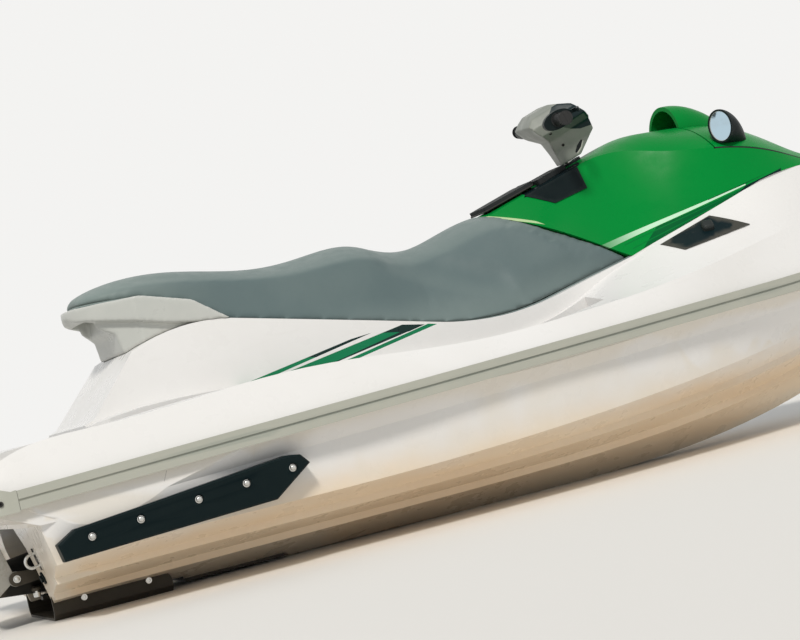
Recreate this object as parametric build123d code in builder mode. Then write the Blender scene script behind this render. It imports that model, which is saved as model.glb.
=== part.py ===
from build123d import *

import os
from math import cos, radians, sin

# Three-seat sit-down personal watercraft, in millimetres. +X points to the bow, +Y to port and +Z up. The
# origin is at the middle of the length and beam, on the floor that the keel and the ride plate stand on.
# A station is a distance forward of the stern.

# Overall form
LENGTH = 3220
SHEER_Z = 334  # height of the middle of the rub rail at the stern
SHEER_SLOPE = 0.0415
SHEER_BREAK = 2350  # station where the sheer starts to sweep up
SHEER_SWEEP = 52  # extra height that the sweep gives at the bow
RAIL_HEIGHT = 48
RAIL_THICK = 25
RAIL_GROOVE = 6
GROOVE_DEPTH = 4
STERN_HALF = 520  # half beam at the stern corner
BEAM_HALF = 574
SKIN_GAP = 0.3  # between pieces that only seat on each other
SWING_GAP = 5  # between pieces that move past each other

# Hull
KEEL_HALF = 35
STRAKE_STEP = 11
STRAKE_LEDGE = 20
CHINE_LEDGE = 30
FLARE_DROP = 45  # height of the flared band under the rub rail
FLARE_IN = 34
TRANSOM_TOP = 130
TRANSOM_RAKE = 0.24  # forward run of the transom for each millimetre down
ENGINE_BAY = (960, 1640)  # aft and forward stations
ENGINE_BAY_HALF = 230
ENGINE_BAY_FLOOR = 112

# Columns: station, keel height, chine half breadth, chine height
HULL_ROWS = (
    (105, 0, 470, 158),
    (700, 0, 485, 178),
    (1400, 0, 485, 190),
    (1950, 0, 448, 226),
    (2350, 30, 372, 268),
    (2700, 100, 262, 322),
    (2980, 215, 136, 384),
    (LENGTH - 40, 380, 18, 445),
)

# Deck
DECK_TOP = 418  # rear platform
FOOTWELL_FLOOR = 322
FOOTWELL_WALL = 10
FOOTWELL_IN = 318
FOOTWELL_OUT = 455
FOOTWELL_ENDS = (400, 1840)
FOOTWELL_TAPER = 340  # length over which its outer side draws in ahead
FOOTWELL_DEPTH = 230
PLATFORM_HALF = 440
ENGINE_BAY_TOP = 505
WELL_FLOOR = 520
WELL_ENDS = (2500, 2930)
WELL_HALF = (216, 140)  # half breadths of the storage well at its aft and forward ends
BUMPER_LENGTH = 88
BUMPER_INNER = 400  # from the middle to its inner end

# Columns: station, half breadth and height of the gunwale crest, half breadth and height of the coaming,
# height of the middle before it is cut
DECK_ROWS = (
    (30, 468, 419, 250, 421, 422),
    (310, 486, 474, 250, 466, 467),
    (790, 500, 502, 250, 494, 495),
    (1100, 502, 494, 250, 486, 487),
    (1458, 504, 476, 250, 468, 470),
    (1720, 497, 489, 258, 492, 500),
    (1930, 484, 506, 268, 586, 620),
    (2100, 470, 528, 276, 637, 677),
    (2450, 392, 588, 304, 743, 783),
    (2700, 312, 628, 266, 789, 829),
    (2950, 206, 654, 196, 772, 812),
    (3110, 112, 652, 104, 705, 745),
    (LENGTH - 38, 40, 610, 30, 640, 680),
)
# Columns: station, half breadth at the floor, half breadth at the seat
PEDESTAL_ROWS = (
    (330, 300, 196),
    (800, 306, 232),
    (1500, 314, 284),
    (2150, 314, 264),
)
PEDESTAL_REAR = (342, 520)  # stations of the foot and the head of its raked rear face

# Seat, console and hatch
# Columns: station, crown height, half breadth of the top, height of the top edge, half breadth low down
SEAT_ROWS = (
    (428, 826, 60, 815, 92),
    (470, 842, 120, 822, 160),
    (560, 857, 150, 828, 206),
    (820, 836, 172, 796, 247),
    (1120, 822, 178, 772, 275),
    (1270, 826, 166, 768, 286),
    (1420, 783, 148, 728, 297),
    (1615, 826, 152, 770, 294),
    (1760, 842, 186, 778, 287),
    (1900, 842, 242, 724, 274),
    (2070, 842, 264, 640, 264),
)
NOSE_TOP = (1700, 838)  # station and height where the seat meets the console on the centre line
NOSE_TIP = (2047, 621)  # station and height of the lower corner of that joint
HATCH_AFT = 2415
# Console and hatch. Columns: station, crown height, half breadth and height of the ridge, half breadth and
# height of the lower edge
HOOD_ROWS = (
    (1672, 831, 72, 822, 440, 620),
    (1760, 858, 79, 850, 398, 620),
    (1850, 886, 86, 878, 349, 620),
    (1950, 916, 95, 908, 298, 620),
    (2050, 947, 104, 938, 278, 620),
    (2250, 1001, 195, 922, 310, 640),
    (HATCH_AFT, 1000, 270, 893, 314, 680),
    (2600, 968, 262, 858, 311, 720),
    (2764, 880, 222, 804, 268, 776),
    (2930, 828, 184, 782, 206, 768),
    (3060, 788, 112, 748, 136, 712),
)
HOOD_FOOT = 90  # how far its sections run down past the deck
SKIRT_FORE = 2780  # where the hatch's edge comes down from the ridge to the deck
HATCH_WALL = 9
HATCH_PIN = (3046, 24)  # station, and height over the deck's joint, of the pin that the hatch tips on
HINGE_HALF = 26
HINGE_BOSS = 11
HINGE_PIN = 5
HINGE_PIN_HALF = 62
SEAT_LOW = 480
LID_LENGTH = 176
LID_HALF = (56, 72)  # half breadths of the glove box lid at its aft and forward edges
LID_THICK = 13
GLOVEBOX_DEPTH = 70
LID_HINGE = (1886, 897)  # station and height on the console's top
LID_SLOPE = 17
LID_PIN = (8, 12)  # ahead of the lid's edge and above the console
LID_PIN_RADIUS = 3
LID_KNUCKLE = 6.5
LID_KNUCKLES = (22, 44)  # inner and outer ends of a knuckle
GLOVEBOX_INSET = 25  # from the lid's edge to the wall of the box below
PAD_ENDS = (21, 136)  # ahead of the lid's edge
PAD_HALF = (74, 56)
PAD_THICK = 12

# Jet
SHAFT_Z = 130
PUMP_ENDS = (300, 560)
PUMP_RADIUS = 98
PUMP_BORE = 78
TUNNEL_HALF = 108
RECESS_HALF = 162
RECESS_SHOULDER = 204
RECESS_TOP = (112, 262)  # half breadth and height of the recess's flat top
RECESS_FRONT = 400
STEER_PIVOT = 200
GATE_PIVOT = 108
GATE_RADIUS = 96
GATE_WALL = 6
CHEEK_Y = 119
GATE_DOWN = 35
GATE_UP = 75
ROD_Y = 125
ROD_Z = 78
RIDE_PLATE = (177, 505)
RIDE_HALF = 184
RIDE_WALL = 7
RIDE_NOSE = 42  # radius of the rounded front end of its sides
INTAKE_HALF = 84
INTAKE_FRONT = 900
GRATE_ENDS = (566, 856)
GRATE_BAR = 7
GRATE_Z = 8
GRATE_THICK = 10
NOZZLE_THROAT = 40
HUB_RADIUS = 29
VANES = 6
BLADES = 3
ARM_Z = 70  # height of the nozzle's pivot arms above and below the shaft line
PIVOT_PIN = 6
GATE_PIN = 9
GATE_ARM_Y = 131
GATE_ARM_THICK = 9
CHEEK_THICK = 7
IMPELLER_ENDS = (436, 522)
IMPELLER_GAP = 3
SHAFT_RADIUS = 11
ENGINE_ENDS = (1040, 1500)
ENGINE_HALF = 140
ENGINE_TOP = 485
NOZZLE_RADIUS = 54
LINK_X = -82
LINK_Y = 125
ROD_LENGTH = 300
ROD_RADIUS = 5
ROD_BORE = 5.4
GLAND_LENGTH = 46
SPONSON_PROUD = 30
SPONSON_EDGE = 5
SPONSON_CORNERS = ((158, 208), (204, 237), (778, 293), (812, 288), (836, 262), (735, 188), (170, 163))
# Half breadth and height of its slanted face, before it stands proud
SPONSON_FACE = ((HULL_ROWS[1][2] + 1, 130), (BEAM_HALF - 40, 320))
SPONSON_BOLTS = ((245, 210), (373, 223), (528, 237), (658, 248), (787, 259))
BOLT_RECESS = (12, 5)  # radius and depth
TAIL_END = 408
TAIL_INSET = 24
GRAB_SLOT = (448, 494)
GRAB_HALF = 88
GRAB_TOP = 778

# Fittings
MAT_EDGE = 14
MAT_THICK = 4
PLATFORM_MAT = (46, 318)
VENT_CORNERS = ((2135, 636), (2173, 603), (2409, 637), (2312, 690))
VENT_PROUD = 4
PANEL_CORNERS = ((1838, 872), (1904, 829), (2022, 856), (2026, 928))
PANEL_PROUD = 4
MIRROR_PLACE = (2442, 280, 952)  # station, distance off the middle and height of the glass's centre
MIRROR_TURN = 32  # how far the glass faces out from straight astern
# Columns: depth behind the glass, half breadth, half height, drop
MIRROR_ROWS = ((0, 40, 51, 0), (30, 41, 50, 3), (80, 34, 39, 22), (125, 17, 20, 50))
MIRROR_RIM = 5
GLASS_THICK = 4
BIN_GAP = 4
BIN_WALL = 4
BIN_HEIGHT = 190
DRAIN_PLACE = (215, -30)  # across the craft and up the transom from its middle
EYE_PLACE = (262, 26)
EYE_RISE = 14  # straight part of its loop
EYE_WIRE = 4
BOW_EYE = (3118, 268)  # station and height of the eye
BOW_EYE_HOLE = 11
# Columns: station, half breadth, foot height, top height
VISOR_ROWS = (
    (HATCH_AFT, 92, 960, 1074), (2460, 88, 955, 1072), (2535, 72, 945, 1046), (2625, 30, 940, 982)
)
VISOR_WALL = 13
GAUGE_STATION = 2494
GAUGE_HALF = 58
GAUGE_FOOT = 960
GAUGE_TOP = 1040
GAUGE_DEPTH = 22

# Steering
COLLAR_TOP = 10
COLLAR_RADIUS = 38
COLUMN_RADIUS = 14
COLUMN_DEPTH = 90
COLUMN_TOP = 60
BAR_RADIUS = 11
BAR_HEIGHT = 153
BAR_MIDDLE = 90
BAR_BEND = (-8, 180)
BAR_END = (-16, 345)
GRIP_RADIUS = 17
GRIP_LENGTH = 122
GRIP_CAP = 4
GRIP_RIM = 4
CONTROL_LENGTH = 34
CONTROL_HALF = (46, 27)  # along and across
COVER_HALF = 118
LEVER_CORNERS = ((22, -216), (44, -226), (50, -262), (34, -322))  # ahead of the column and to port
LEVER_HALF = 4
LEVER_THICK = 12
COLUMN_BASE = (2062, 947)  # station and height where the column leaves the console
COLUMN_RAKE = 20
STEER_REST = 16  # how far the handlebar is turned as the craft is parked
NOZZLE_RATIO = 0.9

# The console's slanted top, from the forward edge of the glove box lid
LID_PLANE = Plane(
    origin=(LID_HINGE[0] - LENGTH / 2, 0, LID_HINGE[1]),
    x_dir=(cos(radians(LID_SLOPE)), 0, sin(radians(LID_SLOPE))),
    z_dir=(-sin(radians(LID_SLOPE)), 0, cos(radians(LID_SLOPE))),
)

LID_SIDE = Plane(origin=LID_PLANE.origin, x_dir=LID_PLANE.x_dir, z_dir=-LID_PLANE.y_dir)

# The steering turns about this plane's Z, with its X forward along the craft when it isn't turned
column_tilt = Vector(-sin(radians(COLUMN_RAKE)), 0, cos(radians(COLUMN_RAKE)))
column_ahead = Vector(cos(radians(COLUMN_RAKE)), 0, sin(radians(COLUMN_RAKE)))
STEER = Plane(
    origin=(COLUMN_BASE[0] - LENGTH / 2, 0, COLUMN_BASE[1]),
    x_dir=column_ahead.rotate(Axis((0, 0, 0), column_tilt), -STEER_REST),
    z_dir=column_tilt,
)
STEER_SIDE = Plane(origin=STEER.origin, x_dir=STEER.x_dir, z_dir=-STEER.y_dir)
STEER_FRONT = Plane(origin=STEER.origin, x_dir=STEER.y_dir, z_dir=STEER.x_dir)

COLLAR_PLANE = Plane(
    origin=STEER.from_local_coords(Vector(0, 0, COLLAR_TOP)), x_dir=STEER.x_dir, z_dir=STEER.z_dir
)

# The starboard mirror's glass faces back along this plane's Z, with its X inboard
mirror_turn = radians(MIRROR_TURN)
MIRROR = Plane(
    origin=(MIRROR_PLACE[0] - LENGTH / 2, -MIRROR_PLACE[1], MIRROR_PLACE[2]),
    x_dir=(-sin(mirror_turn), cos(mirror_turn), 0),
    z_dir=(cos(mirror_turn), sin(mirror_turn), 0),
)

# The raked transom, seen from astern
TRANSOM_MIDDLE = 150
TRANSOM_PLANE = Plane(
    origin=(TRANSOM_TOP + TRANSOM_RAKE * (SHEER_Z - 69 - TRANSOM_MIDDLE) - LENGTH / 2, 0, TRANSOM_MIDDLE),
    x_dir=(0, -1, 0),
    z_dir=(-1, 0, -TRANSOM_RAKE),
)

# The nozzle turns about this plane's Z, the other way from the handlebar
nozzle_turn = radians(STEER_REST * NOZZLE_RATIO)
NOZZLE = Plane(
    origin=(STEER_PIVOT - LENGTH / 2, 0, SHAFT_Z),
    x_dir=(cos(nozzle_turn), sin(nozzle_turn), 0), z_dir=(0, 0, 1),
)
NOZZLE_SIDE = Plane(origin=NOZZLE.origin, x_dir=NOZZLE.x_dir, z_dir=-NOZZLE.y_dir)
ROD_EYE = NOZZLE.from_local_coords(Vector(LINK_X, -LINK_Y, 0))


def at(station):
    """The X of a station."""
    return station - LENGTH / 2


def sheer(station):
    """Height of the middle of the rub rail."""
    run = max(0, station - SHEER_BREAK) / (LENGTH - SHEER_BREAK)
    return SHEER_Z + SHEER_SLOPE * station + SHEER_SWEEP * run**2


def mirrored(half):
    """A closed outline from a half outline that runs from the middle out and back to the middle."""
    return [*half, *[(-y, z) for y, z in reversed(half) if y > 0]]


def cross_section(half):
    """A section across the craft from its half outline."""
    with BuildSketch(mode=Mode.PRIVATE) as whole:
        with BuildLine():
            Polyline(*mirrored(half), close=True)
        make_face()
    return whole.sketch


def below_sheer(lift):
    """The side view under the sheer line raised by lift."""
    with BuildSketch(mode=Mode.PRIVATE) as side:
        with BuildLine():
            aft = Line((at(-100), sheer(-100) + lift), (at(SHEER_BREAK), sheer(SHEER_BREAK) + lift))
            fore = TangentArc(aft @ 1, (at(LENGTH + 60), sheer(LENGTH + 60) + lift), tangent=aft % 1)
            Polyline(fore @ 1, (at(LENGTH + 60), -100), (at(-100), -100), aft @ 0)
        make_face()
    return side.sketch


def outline(inset):
    """The plan of the rub rail's outer edge, drawn from the bow to the stern, moved in by inset."""
    with BuildSketch(mode=Mode.PRIVATE) as plan:
        with BuildLine():
            nose = TangentArc((at(LENGTH), 0), (at(LENGTH - 55), 130), tangent=(0, 1))
            bow = TangentArc(nose @ 1, (at(LENGTH - 620), 430), tangent=nose % 1)
            side = TangentArc(bow @ 1, (at(1500), BEAM_HALF), tangent=bow % 1)
            quarter = TangentArc(side @ 1, (at(700), BEAM_HALF - 12), tangent=side % 1)
            tail = Line(quarter @ 1, (at(60), STERN_HALF + 14))
            corner = TangentArc(tail @ 1, (at(0), STERN_HALF - 52), tangent=tail % 1)
            Line(corner @ 1, (at(0), 0))
            mirror(about=Plane.XZ)
        make_face()
        if inset:
            offset(amount=-inset, mode=Mode.REPLACE)
    return plan.sketch


def half_beam(station):
    """Half breadth of hull and deck inside the rub rail."""
    across = Edge.make_line((at(station), 0, 0), (at(station), 2 * BEAM_HALF, 0))
    return (SHELL_PLAN & across).edge().length


def coaming(far, lift=0):
    """The side view between the deck's joint with seat, console and hatch and the height far."""
    with BuildSketch(mode=Mode.PRIVATE) as side:
        with BuildLine():
            tail = Polyline(
                (at(380), 804 + lift), (at(430), 804 + lift), (at(581), 796 + lift), (at(712), 757 + lift)
            )
            rear = Line(tail @ 1, (at(808), 684 + lift))
            run = Line(rear @ 1, (at(1400), 548 + lift))
            dip = ThreePointArc(run @ 1, (at(1572), 531 + lift), (at(1740), 549 + lift))
            rise = Line(dip @ 1, (at(NOSE_TIP[0]), NOSE_TIP[1] + lift))
            climb = Line(rise @ 1, (at(2524), 765 + lift))
            crown = ThreePointArc(climb @ 1, (at(2740), 790 + lift), (at(2950), 772 + lift))
            fall = TangentArc(crown @ 1, (at(LENGTH + 20), 600 + lift), tangent=crown % 1)
            Polyline(fall @ 1, (at(LENGTH + 20), far), (at(380), far), tail @ 0)
        make_face()
    return side.sketch


def joint_z(station):
    """Height of the deck's joint with seat, console and hatch."""
    upright = Edge.make_line((at(station), 0, 0), (at(station), 1300, 0))
    return 1300 - (coaming(1300) & upright).edge().length


def below_ridge(lift):
    """The side view under the hood's ridge, ahead of the hatch's aft edge, raised by lift."""
    ridge = [(at(row[0]), row[3] + lift) for row in HOOD_ROWS if HATCH_AFT <= row[0] <= SKIRT_FORE]
    with BuildSketch(mode=Mode.PRIVATE) as side:
        with BuildLine():
            crest = ThreePointArc(*ridge)
            fall = Line(crest @ 1, crest @ 1 + crest % 1 * 250)
            Polyline(fall @ 1, ((fall @ 1).X, WELL_FLOOR), (at(HATCH_AFT - SWING_GAP) - 1, WELL_FLOOR),
                     (at(HATCH_AFT - SWING_GAP) - 1, ridge[0][1]), ridge[0])
        make_face()
    return side.sketch


def hood_section(row, inset):
    """A section across the hood, its outside moved in by inset."""
    station, crown_z, ridge_y, ridge_z, low_y, low_z = row
    out, low = ridge_y - inset, low_y - inset
    with BuildSketch(mode=Mode.PRIVATE) as section:
        with BuildLine():
            top = ThreePointArc((-out, ridge_z - inset / 2), (0, crown_z - inset), (out, ridge_z - inset / 2))
            Polyline(
                top @ 1, (low, low_z), (low, low_z - HOOD_FOOT),
                (-low, low_z - HOOD_FOOT), (-low, low_z), top @ 0
            )
        make_face()
    return section.sketch


def nose_side(lift):
    """The side view over the seat's slanted nose, where the console stands."""
    slope = (NOSE_TIP[1] - NOSE_TOP[1]) / (NOSE_TIP[0] - NOSE_TOP[0])
    high = (at(1300), NOSE_TOP[1] + slope * (1300 - NOSE_TOP[0]) + lift)
    low = (at(2300), NOSE_TIP[1] + slope * (2300 - NOSE_TIP[0]) + lift)
    with BuildSketch(mode=Mode.PRIVATE) as side:
        with BuildLine():
            Polyline(high, low, (at(LENGTH), low[1]), (at(LENGTH), 1400), (at(1300), 1400), close=True)
        make_face()
    return side.sketch


def well_plan(inset):
    """The storage well in plan, its walls moved in by inset."""
    aft, fore = WELL_ENDS
    with BuildSketch(mode=Mode.PRIVATE) as plan:
        with BuildLine():
            Polyline(
                (at(aft) + inset, WELL_HALF[0] - inset), (at(fore) - inset, WELL_HALF[1] - inset),
                (at(fore) - inset, inset - WELL_HALF[1]), (at(aft) + inset, inset - WELL_HALF[0]), close=True
            )
        make_face()
    return plan.sketch


def pedestal_side(lift):
    """The side view of the pedestal behind and under the seat, its top raised by lift."""
    with BuildSketch(mode=Mode.PRIVATE) as side:
        foot, head = PEDESTAL_REAR
        with BuildLine():
            rear = Polyline((at(foot), 300), (at(foot + 12), 470 + lift), (at(head), 651 + lift))
            top = ThreePointArc(rear @ 1, (at(650), 688 + lift), (at(808), 684 + lift))
            Polyline(top @ 1, (at(830), 800), (at(2200), 800), (at(2200), 300), rear @ 0)
        make_face()
    return side.sketch


def tail_plan(inset):
    """The grab handle in plan, moved in by inset."""
    with BuildSketch(mode=Mode.PRIVATE) as plan:
        with BuildLine():
            aft = ThreePointArc((at(TAIL_END), 0), (at(TAIL_END + 10), 62), (at(TAIL_END + 44), 118))
            Polyline(aft @ 1, (at(560), 212), (at(700), 238), (at(812), 252), (at(812), 0), aft @ 0)
        make_face()
        mirror(about=Plane.XZ)
        if inset:
            offset(amount=-inset, mode=Mode.REPLACE)
    return plan.sketch


def bottom_z(y):
    """Height of the hull's bottom near the stern, y away from the middle."""
    keel_y, chine_y, chine_z = KEEL_HALF, HULL_ROWS[1][2], HULL_ROWS[1][3]
    return (y - keel_y) * chine_z / (chine_y - keel_y)


def gate_sector(radius):
    """The reverse gate's sector as it hangs behind the nozzle."""
    with BuildSketch(mode=Mode.PRIVATE) as sector:
        with BuildLine():
            centre = (at(GATE_PIVOT), SHAFT_Z)
            low = Line(centre, polar(centre, radius, 180 + GATE_DOWN))
            back = ThreePointArc(low @ 1, polar(centre, radius, 190), polar(centre, radius, 180 - GATE_UP))
            Line(back @ 1, centre)
        make_face()
    return sector.sketch


def polar(centre, radius, angle):
    """The point at an angle round a centre."""
    return (centre[0] + radius * cos(radians(angle)), centre[1] + radius * sin(radians(angle)))


def bar_end_plane(side):
    """The plane across the end of the handlebar on one side, facing out."""
    end = Vector(BAR_END[0], side * BAR_END[1], BAR_HEIGHT)
    bend = Vector(BAR_BEND[0], side * BAR_BEND[1], BAR_HEIGHT)
    outward = STEER.from_local_coords(end) - STEER.from_local_coords(bend)
    return Plane(origin=STEER.from_local_coords(end), x_dir=STEER.z_dir, z_dir=outward)


SHELL_PLAN = outline(RAIL_THICK)

# Regions that several pieces are trimmed by
with BuildPart() as under_sheer:
    with BuildSketch(Plane.XZ):
        add(below_sheer(0))
    extrude(amount=700, both=True)

with BuildPart() as rail_band:
    with BuildSketch(Plane.XZ):
        add(below_sheer(RAIL_HEIGHT / 2))
        add(below_sheer(-RAIL_HEIGHT / 2), mode=Mode.SUBTRACT)
    extrude(amount=700, both=True)

with BuildPart() as over_coaming:
    with BuildSketch(Plane.XZ):
        add(coaming(1300))
    extrude(amount=700, both=True)

with BuildPart() as shell_prism:
    with BuildSketch(Plane.XY.offset(-50)):
        add(SHELL_PLAN)
    extrude(amount=900)


def footwell_plan(grow):
    """Both footwells in plan, each side grown outward by grow."""
    aft, fore = FOOTWELL_ENDS
    with BuildSketch(mode=Mode.PRIVATE) as plan:
        with BuildLine():
            Polyline(
                (at(aft) - grow, FOOTWELL_IN - grow),
                (at(fore) + grow, FOOTWELL_IN - grow),
                (at(fore) + grow, FOOTWELL_OUT - 28 + grow),
                (at(fore - FOOTWELL_TAPER), FOOTWELL_OUT + grow),
                (at(aft) - grow, FOOTWELL_OUT - 10 + grow),
                close=True,
            )
        make_face()
        mirror(about=Plane.XZ)
    return plan.sketch


with BuildPart() as tunnel:
    # Wide recess round the steering nozzle, then the pump's own bore and the slanted intake
    with BuildSketch(Plane.YZ.offset(at(60))):
        with BuildLine():
            Polyline(
                (RECESS_HALF, -10), (RECESS_HALF, RECESS_SHOULDER), RECESS_TOP,
                (-RECESS_TOP[0], RECESS_TOP[1]), (-RECESS_HALF, RECESS_SHOULDER), (-RECESS_HALF, -10),
                close=True
            )
        make_face()
    extrude(amount=RECESS_FRONT - 60)
    with BuildSketch(Plane.YZ.offset(at(RECESS_FRONT - 1))):
        with BuildLine():
            left = Line((-TUNNEL_HALF, -10), (-TUNNEL_HALF, SHAFT_Z))
            RadiusArc(left @ 1, (TUNNEL_HALF, SHAFT_Z), TUNNEL_HALF)
            Polyline((TUNNEL_HALF, SHAFT_Z), (TUNNEL_HALF, -10), (-TUNNEL_HALF, -10))
        make_face()
    extrude(amount=PUMP_ENDS[1] - RECESS_FRONT + 1)
    with BuildSketch(Plane.XZ):
        with BuildLine():
            Polyline(
                (at(PUMP_ENDS[1] - 1), -10), (at(PUMP_ENDS[1] - 1), SHAFT_Z + 76),
                (at(PUMP_ENDS[1] + 60), SHAFT_Z + 62), (at(INTAKE_FRONT), -10), close=True
            )
        make_face()
    extrude(amount=INTAKE_HALF, both=True)

with BuildPart() as footwell_tub:
    with BuildSketch(Plane.XY.offset(FOOTWELL_FLOOR - FOOTWELL_WALL)):
        add(footwell_plan(FOOTWELL_WALL))
    extrude(amount=400)

with BuildPart() as hull:
    for station, keel_z, chine_y, chine_z in HULL_ROWS:
        rail_y = half_beam(max(station, RAIL_THICK + 5))
        keel_y = min(KEEL_HALF, chine_y * 0.35)
        bottom = (chine_z - keel_z) / (chine_y - keel_y)
        half = [(0, keel_z), (keel_y, keel_z)]
        for share in (0.42, 0.7):
            strake_y = keel_y + share * (chine_y - keel_y)
            strake_z = keel_z + bottom * (strake_y - keel_y) - STRAKE_STEP * chine_y / 485
            ledge = STRAKE_LEDGE * chine_y / 485
            half += [(strake_y, strake_z), (strake_y + ledge, strake_z)]
            half += [(strake_y + ledge + 2, strake_z + STRAKE_STEP * chine_y / 485 + bottom * ledge)]
        half += [(chine_y - CHINE_LEDGE * chine_y / 485, chine_z - 6), (chine_y, chine_z - 6)]
        half += [(rail_y - FLARE_IN, sheer(station) - RAIL_HEIGHT / 2 - FLARE_DROP)]
        half += [(rail_y + 1, sheer(station) - RAIL_HEIGHT / 2)]
        half += [(rail_y + 1, sheer(station) + 60), (0, sheer(station) + 60)]
        with BuildSketch(Plane.YZ.offset(at(station))):
            add(cross_section(half))
    loft()
    # Raked transom under the overhanging stern platform
    with BuildSketch(Plane.XZ):
        with BuildLine():
            top = SHEER_Z - RAIL_HEIGHT / 2 - FLARE_DROP
            Polyline(
                (at(-50), -60), (at(TRANSOM_TOP + TRANSOM_RAKE * (top + 60)), -60),
                (at(TRANSOM_TOP), top), (at(-50), top), close=True
            )
        make_face()
    extrude(amount=700, both=True, mode=Mode.SUBTRACT)
    with BuildSketch(Plane.XZ):
        with BuildLine():
            Polyline(
                (at(TRANSOM_TOP + 40), top), (at(TRANSOM_TOP), top),
                (at(RAIL_THICK), SHEER_Z - RAIL_HEIGHT / 2), (at(RAIL_THICK), SHEER_Z + 60),
                (at(TRANSOM_TOP + 40), SHEER_Z + 60), close=True
            )
        make_face()
    extrude(amount=STERN_HALF - 10, both=True)
    add(under_sheer.part, mode=Mode.INTERSECT)
    add(shell_prism.part, mode=Mode.INTERSECT)
    with BuildSketch(Plane.XY.offset(-100)):
        with Locations((0, 0)):
            Rectangle(LENGTH + 400, 2000)
    extrude(amount=100, mode=Mode.SUBTRACT)
    add(tunnel.part, mode=Mode.SUBTRACT)
    add(footwell_tub.part, mode=Mode.SUBTRACT)
    with BuildSketch(Plane.XY.offset(ENGINE_BAY_FLOOR)):
        with Locations((at(sum(ENGINE_BAY) / 2), 0)):
            Rectangle(ENGINE_BAY[1] - ENGINE_BAY[0], 2 * ENGINE_BAY_HALF)
    extrude(amount=500, mode=Mode.SUBTRACT)
    with BuildSketch(Plane.YZ.offset(at(PUMP_ENDS[1]))):
        with Locations((0, SHAFT_Z)):
            Circle(SHAFT_RADIUS + 4)
    extrude(amount=ENGINE_BAY[0] - PUMP_ENDS[1] + 10, mode=Mode.SUBTRACT)
    # Cable bore for the steering rod
    with BuildSketch(Plane.YZ.offset(at(RECESS_FRONT - 1))):
        with Locations((ROD_EYE.Y, ROD_Z)):
            Circle(ROD_BORE)
    extrude(amount=150, mode=Mode.SUBTRACT)

with BuildPart() as pedestal:
    for station, floor_y, seat_y in PEDESTAL_ROWS:
        with BuildSketch(Plane.YZ.offset(at(station))):
            add(cross_section([(0, 300), (floor_y, 300), (seat_y, 760), (0, 760)]))
    loft()
    with BuildSketch(Plane.XZ):
        add(pedestal_side(0))
    extrude(amount=400, both=True, mode=Mode.INTERSECT)

with BuildPart() as deck:
    for station, crest_y, crest_z, coaming_y, coaming_z, middle_z in DECK_ROWS:
        rail_y = half_beam(station) + 1
        half = [(0, sheer(station) - 60), (rail_y, sheer(station) - 60), (rail_y, sheer(station) + 16)]
        half += [(crest_y, crest_z), (coaming_y, coaming_z), (coaming_y, middle_z), (0, middle_z)]
        with BuildSketch(Plane.YZ.offset(at(station))):
            add(cross_section(half))
    loft()
    add(pedestal.part)
    add(shell_prism.part, mode=Mode.INTERSECT)
    add(under_sheer.part, mode=Mode.SUBTRACT)
    with BuildSketch(Plane.XY.offset(FOOTWELL_FLOOR - FOOTWELL_WALL)):
        add(footwell_plan(FOOTWELL_WALL))
    extrude(amount=120)
    with BuildSketch(Plane.XY.offset(FOOTWELL_FLOOR)):
        add(footwell_plan(0))
    extrude(amount=FOOTWELL_DEPTH, mode=Mode.SUBTRACT)
    # Flat rear platform between the gunwales
    with BuildSketch(Plane.XY.offset(DECK_TOP)):
        with BuildLine():
            aft, fore = 10, FOOTWELL_ENDS[0] + 1
            Polyline(
                (at(aft), PLATFORM_HALF), (at(fore), FOOTWELL_OUT - 10), (at(fore), FOOTWELL_IN),
                (at(PEDESTAL_REAR[0] + 8), FOOTWELL_IN - 40), (at(PEDESTAL_REAR[0] + 8), 0), (at(aft), 0),
                close=True
            )
        make_face()
        mirror(about=Plane.XZ)
    extrude(amount=200, mode=Mode.SUBTRACT)
    add(over_coaming.part, mode=Mode.SUBTRACT)
    # Engine space under the seat and storage well under the hatch
    with BuildSketch(Plane.XY.offset(300)):
        with Locations((at(sum(ENGINE_BAY) / 2), 0)):
            Rectangle(ENGINE_BAY[1] - ENGINE_BAY[0], 2 * ENGINE_BAY_HALF - 20)
    extrude(amount=ENGINE_BAY_TOP - 300, mode=Mode.SUBTRACT)
    with BuildSketch(Plane.XY.offset(WELL_FLOOR)):
        add(well_plan(0))
    extrude(amount=400, mode=Mode.SUBTRACT)

with BuildPart() as rail_groove:
    with BuildSketch(Plane.XY.offset(200)):
        add(outline(-5))
        add(outline(GROOVE_DEPTH), mode=Mode.SUBTRACT)
    extrude(amount=500)
    with BuildSketch(Plane.XZ):
        add(below_sheer(RAIL_GROOVE / 2))
        add(below_sheer(-RAIL_GROOVE / 2), mode=Mode.SUBTRACT)
    extrude(amount=700, both=True, mode=Mode.INTERSECT)

with BuildPart() as rub_rail:
    with BuildSketch(Plane.XY.offset(200)):
        add(outline(0))
        add(outline(RAIL_THICK - SKIN_GAP), mode=Mode.SUBTRACT)
    extrude(amount=500)
    add(rail_band.part, mode=Mode.INTERSECT)
    add(rail_groove.part, mode=Mode.SUBTRACT)
    with BuildSketch(Plane.XY.offset(200)):
        with Locations((at(BUMPER_LENGTH / 2 - 50), 0)):
            Rectangle(BUMPER_LENGTH + 100, 1300)
    extrude(amount=500, mode=Mode.SUBTRACT)

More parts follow.
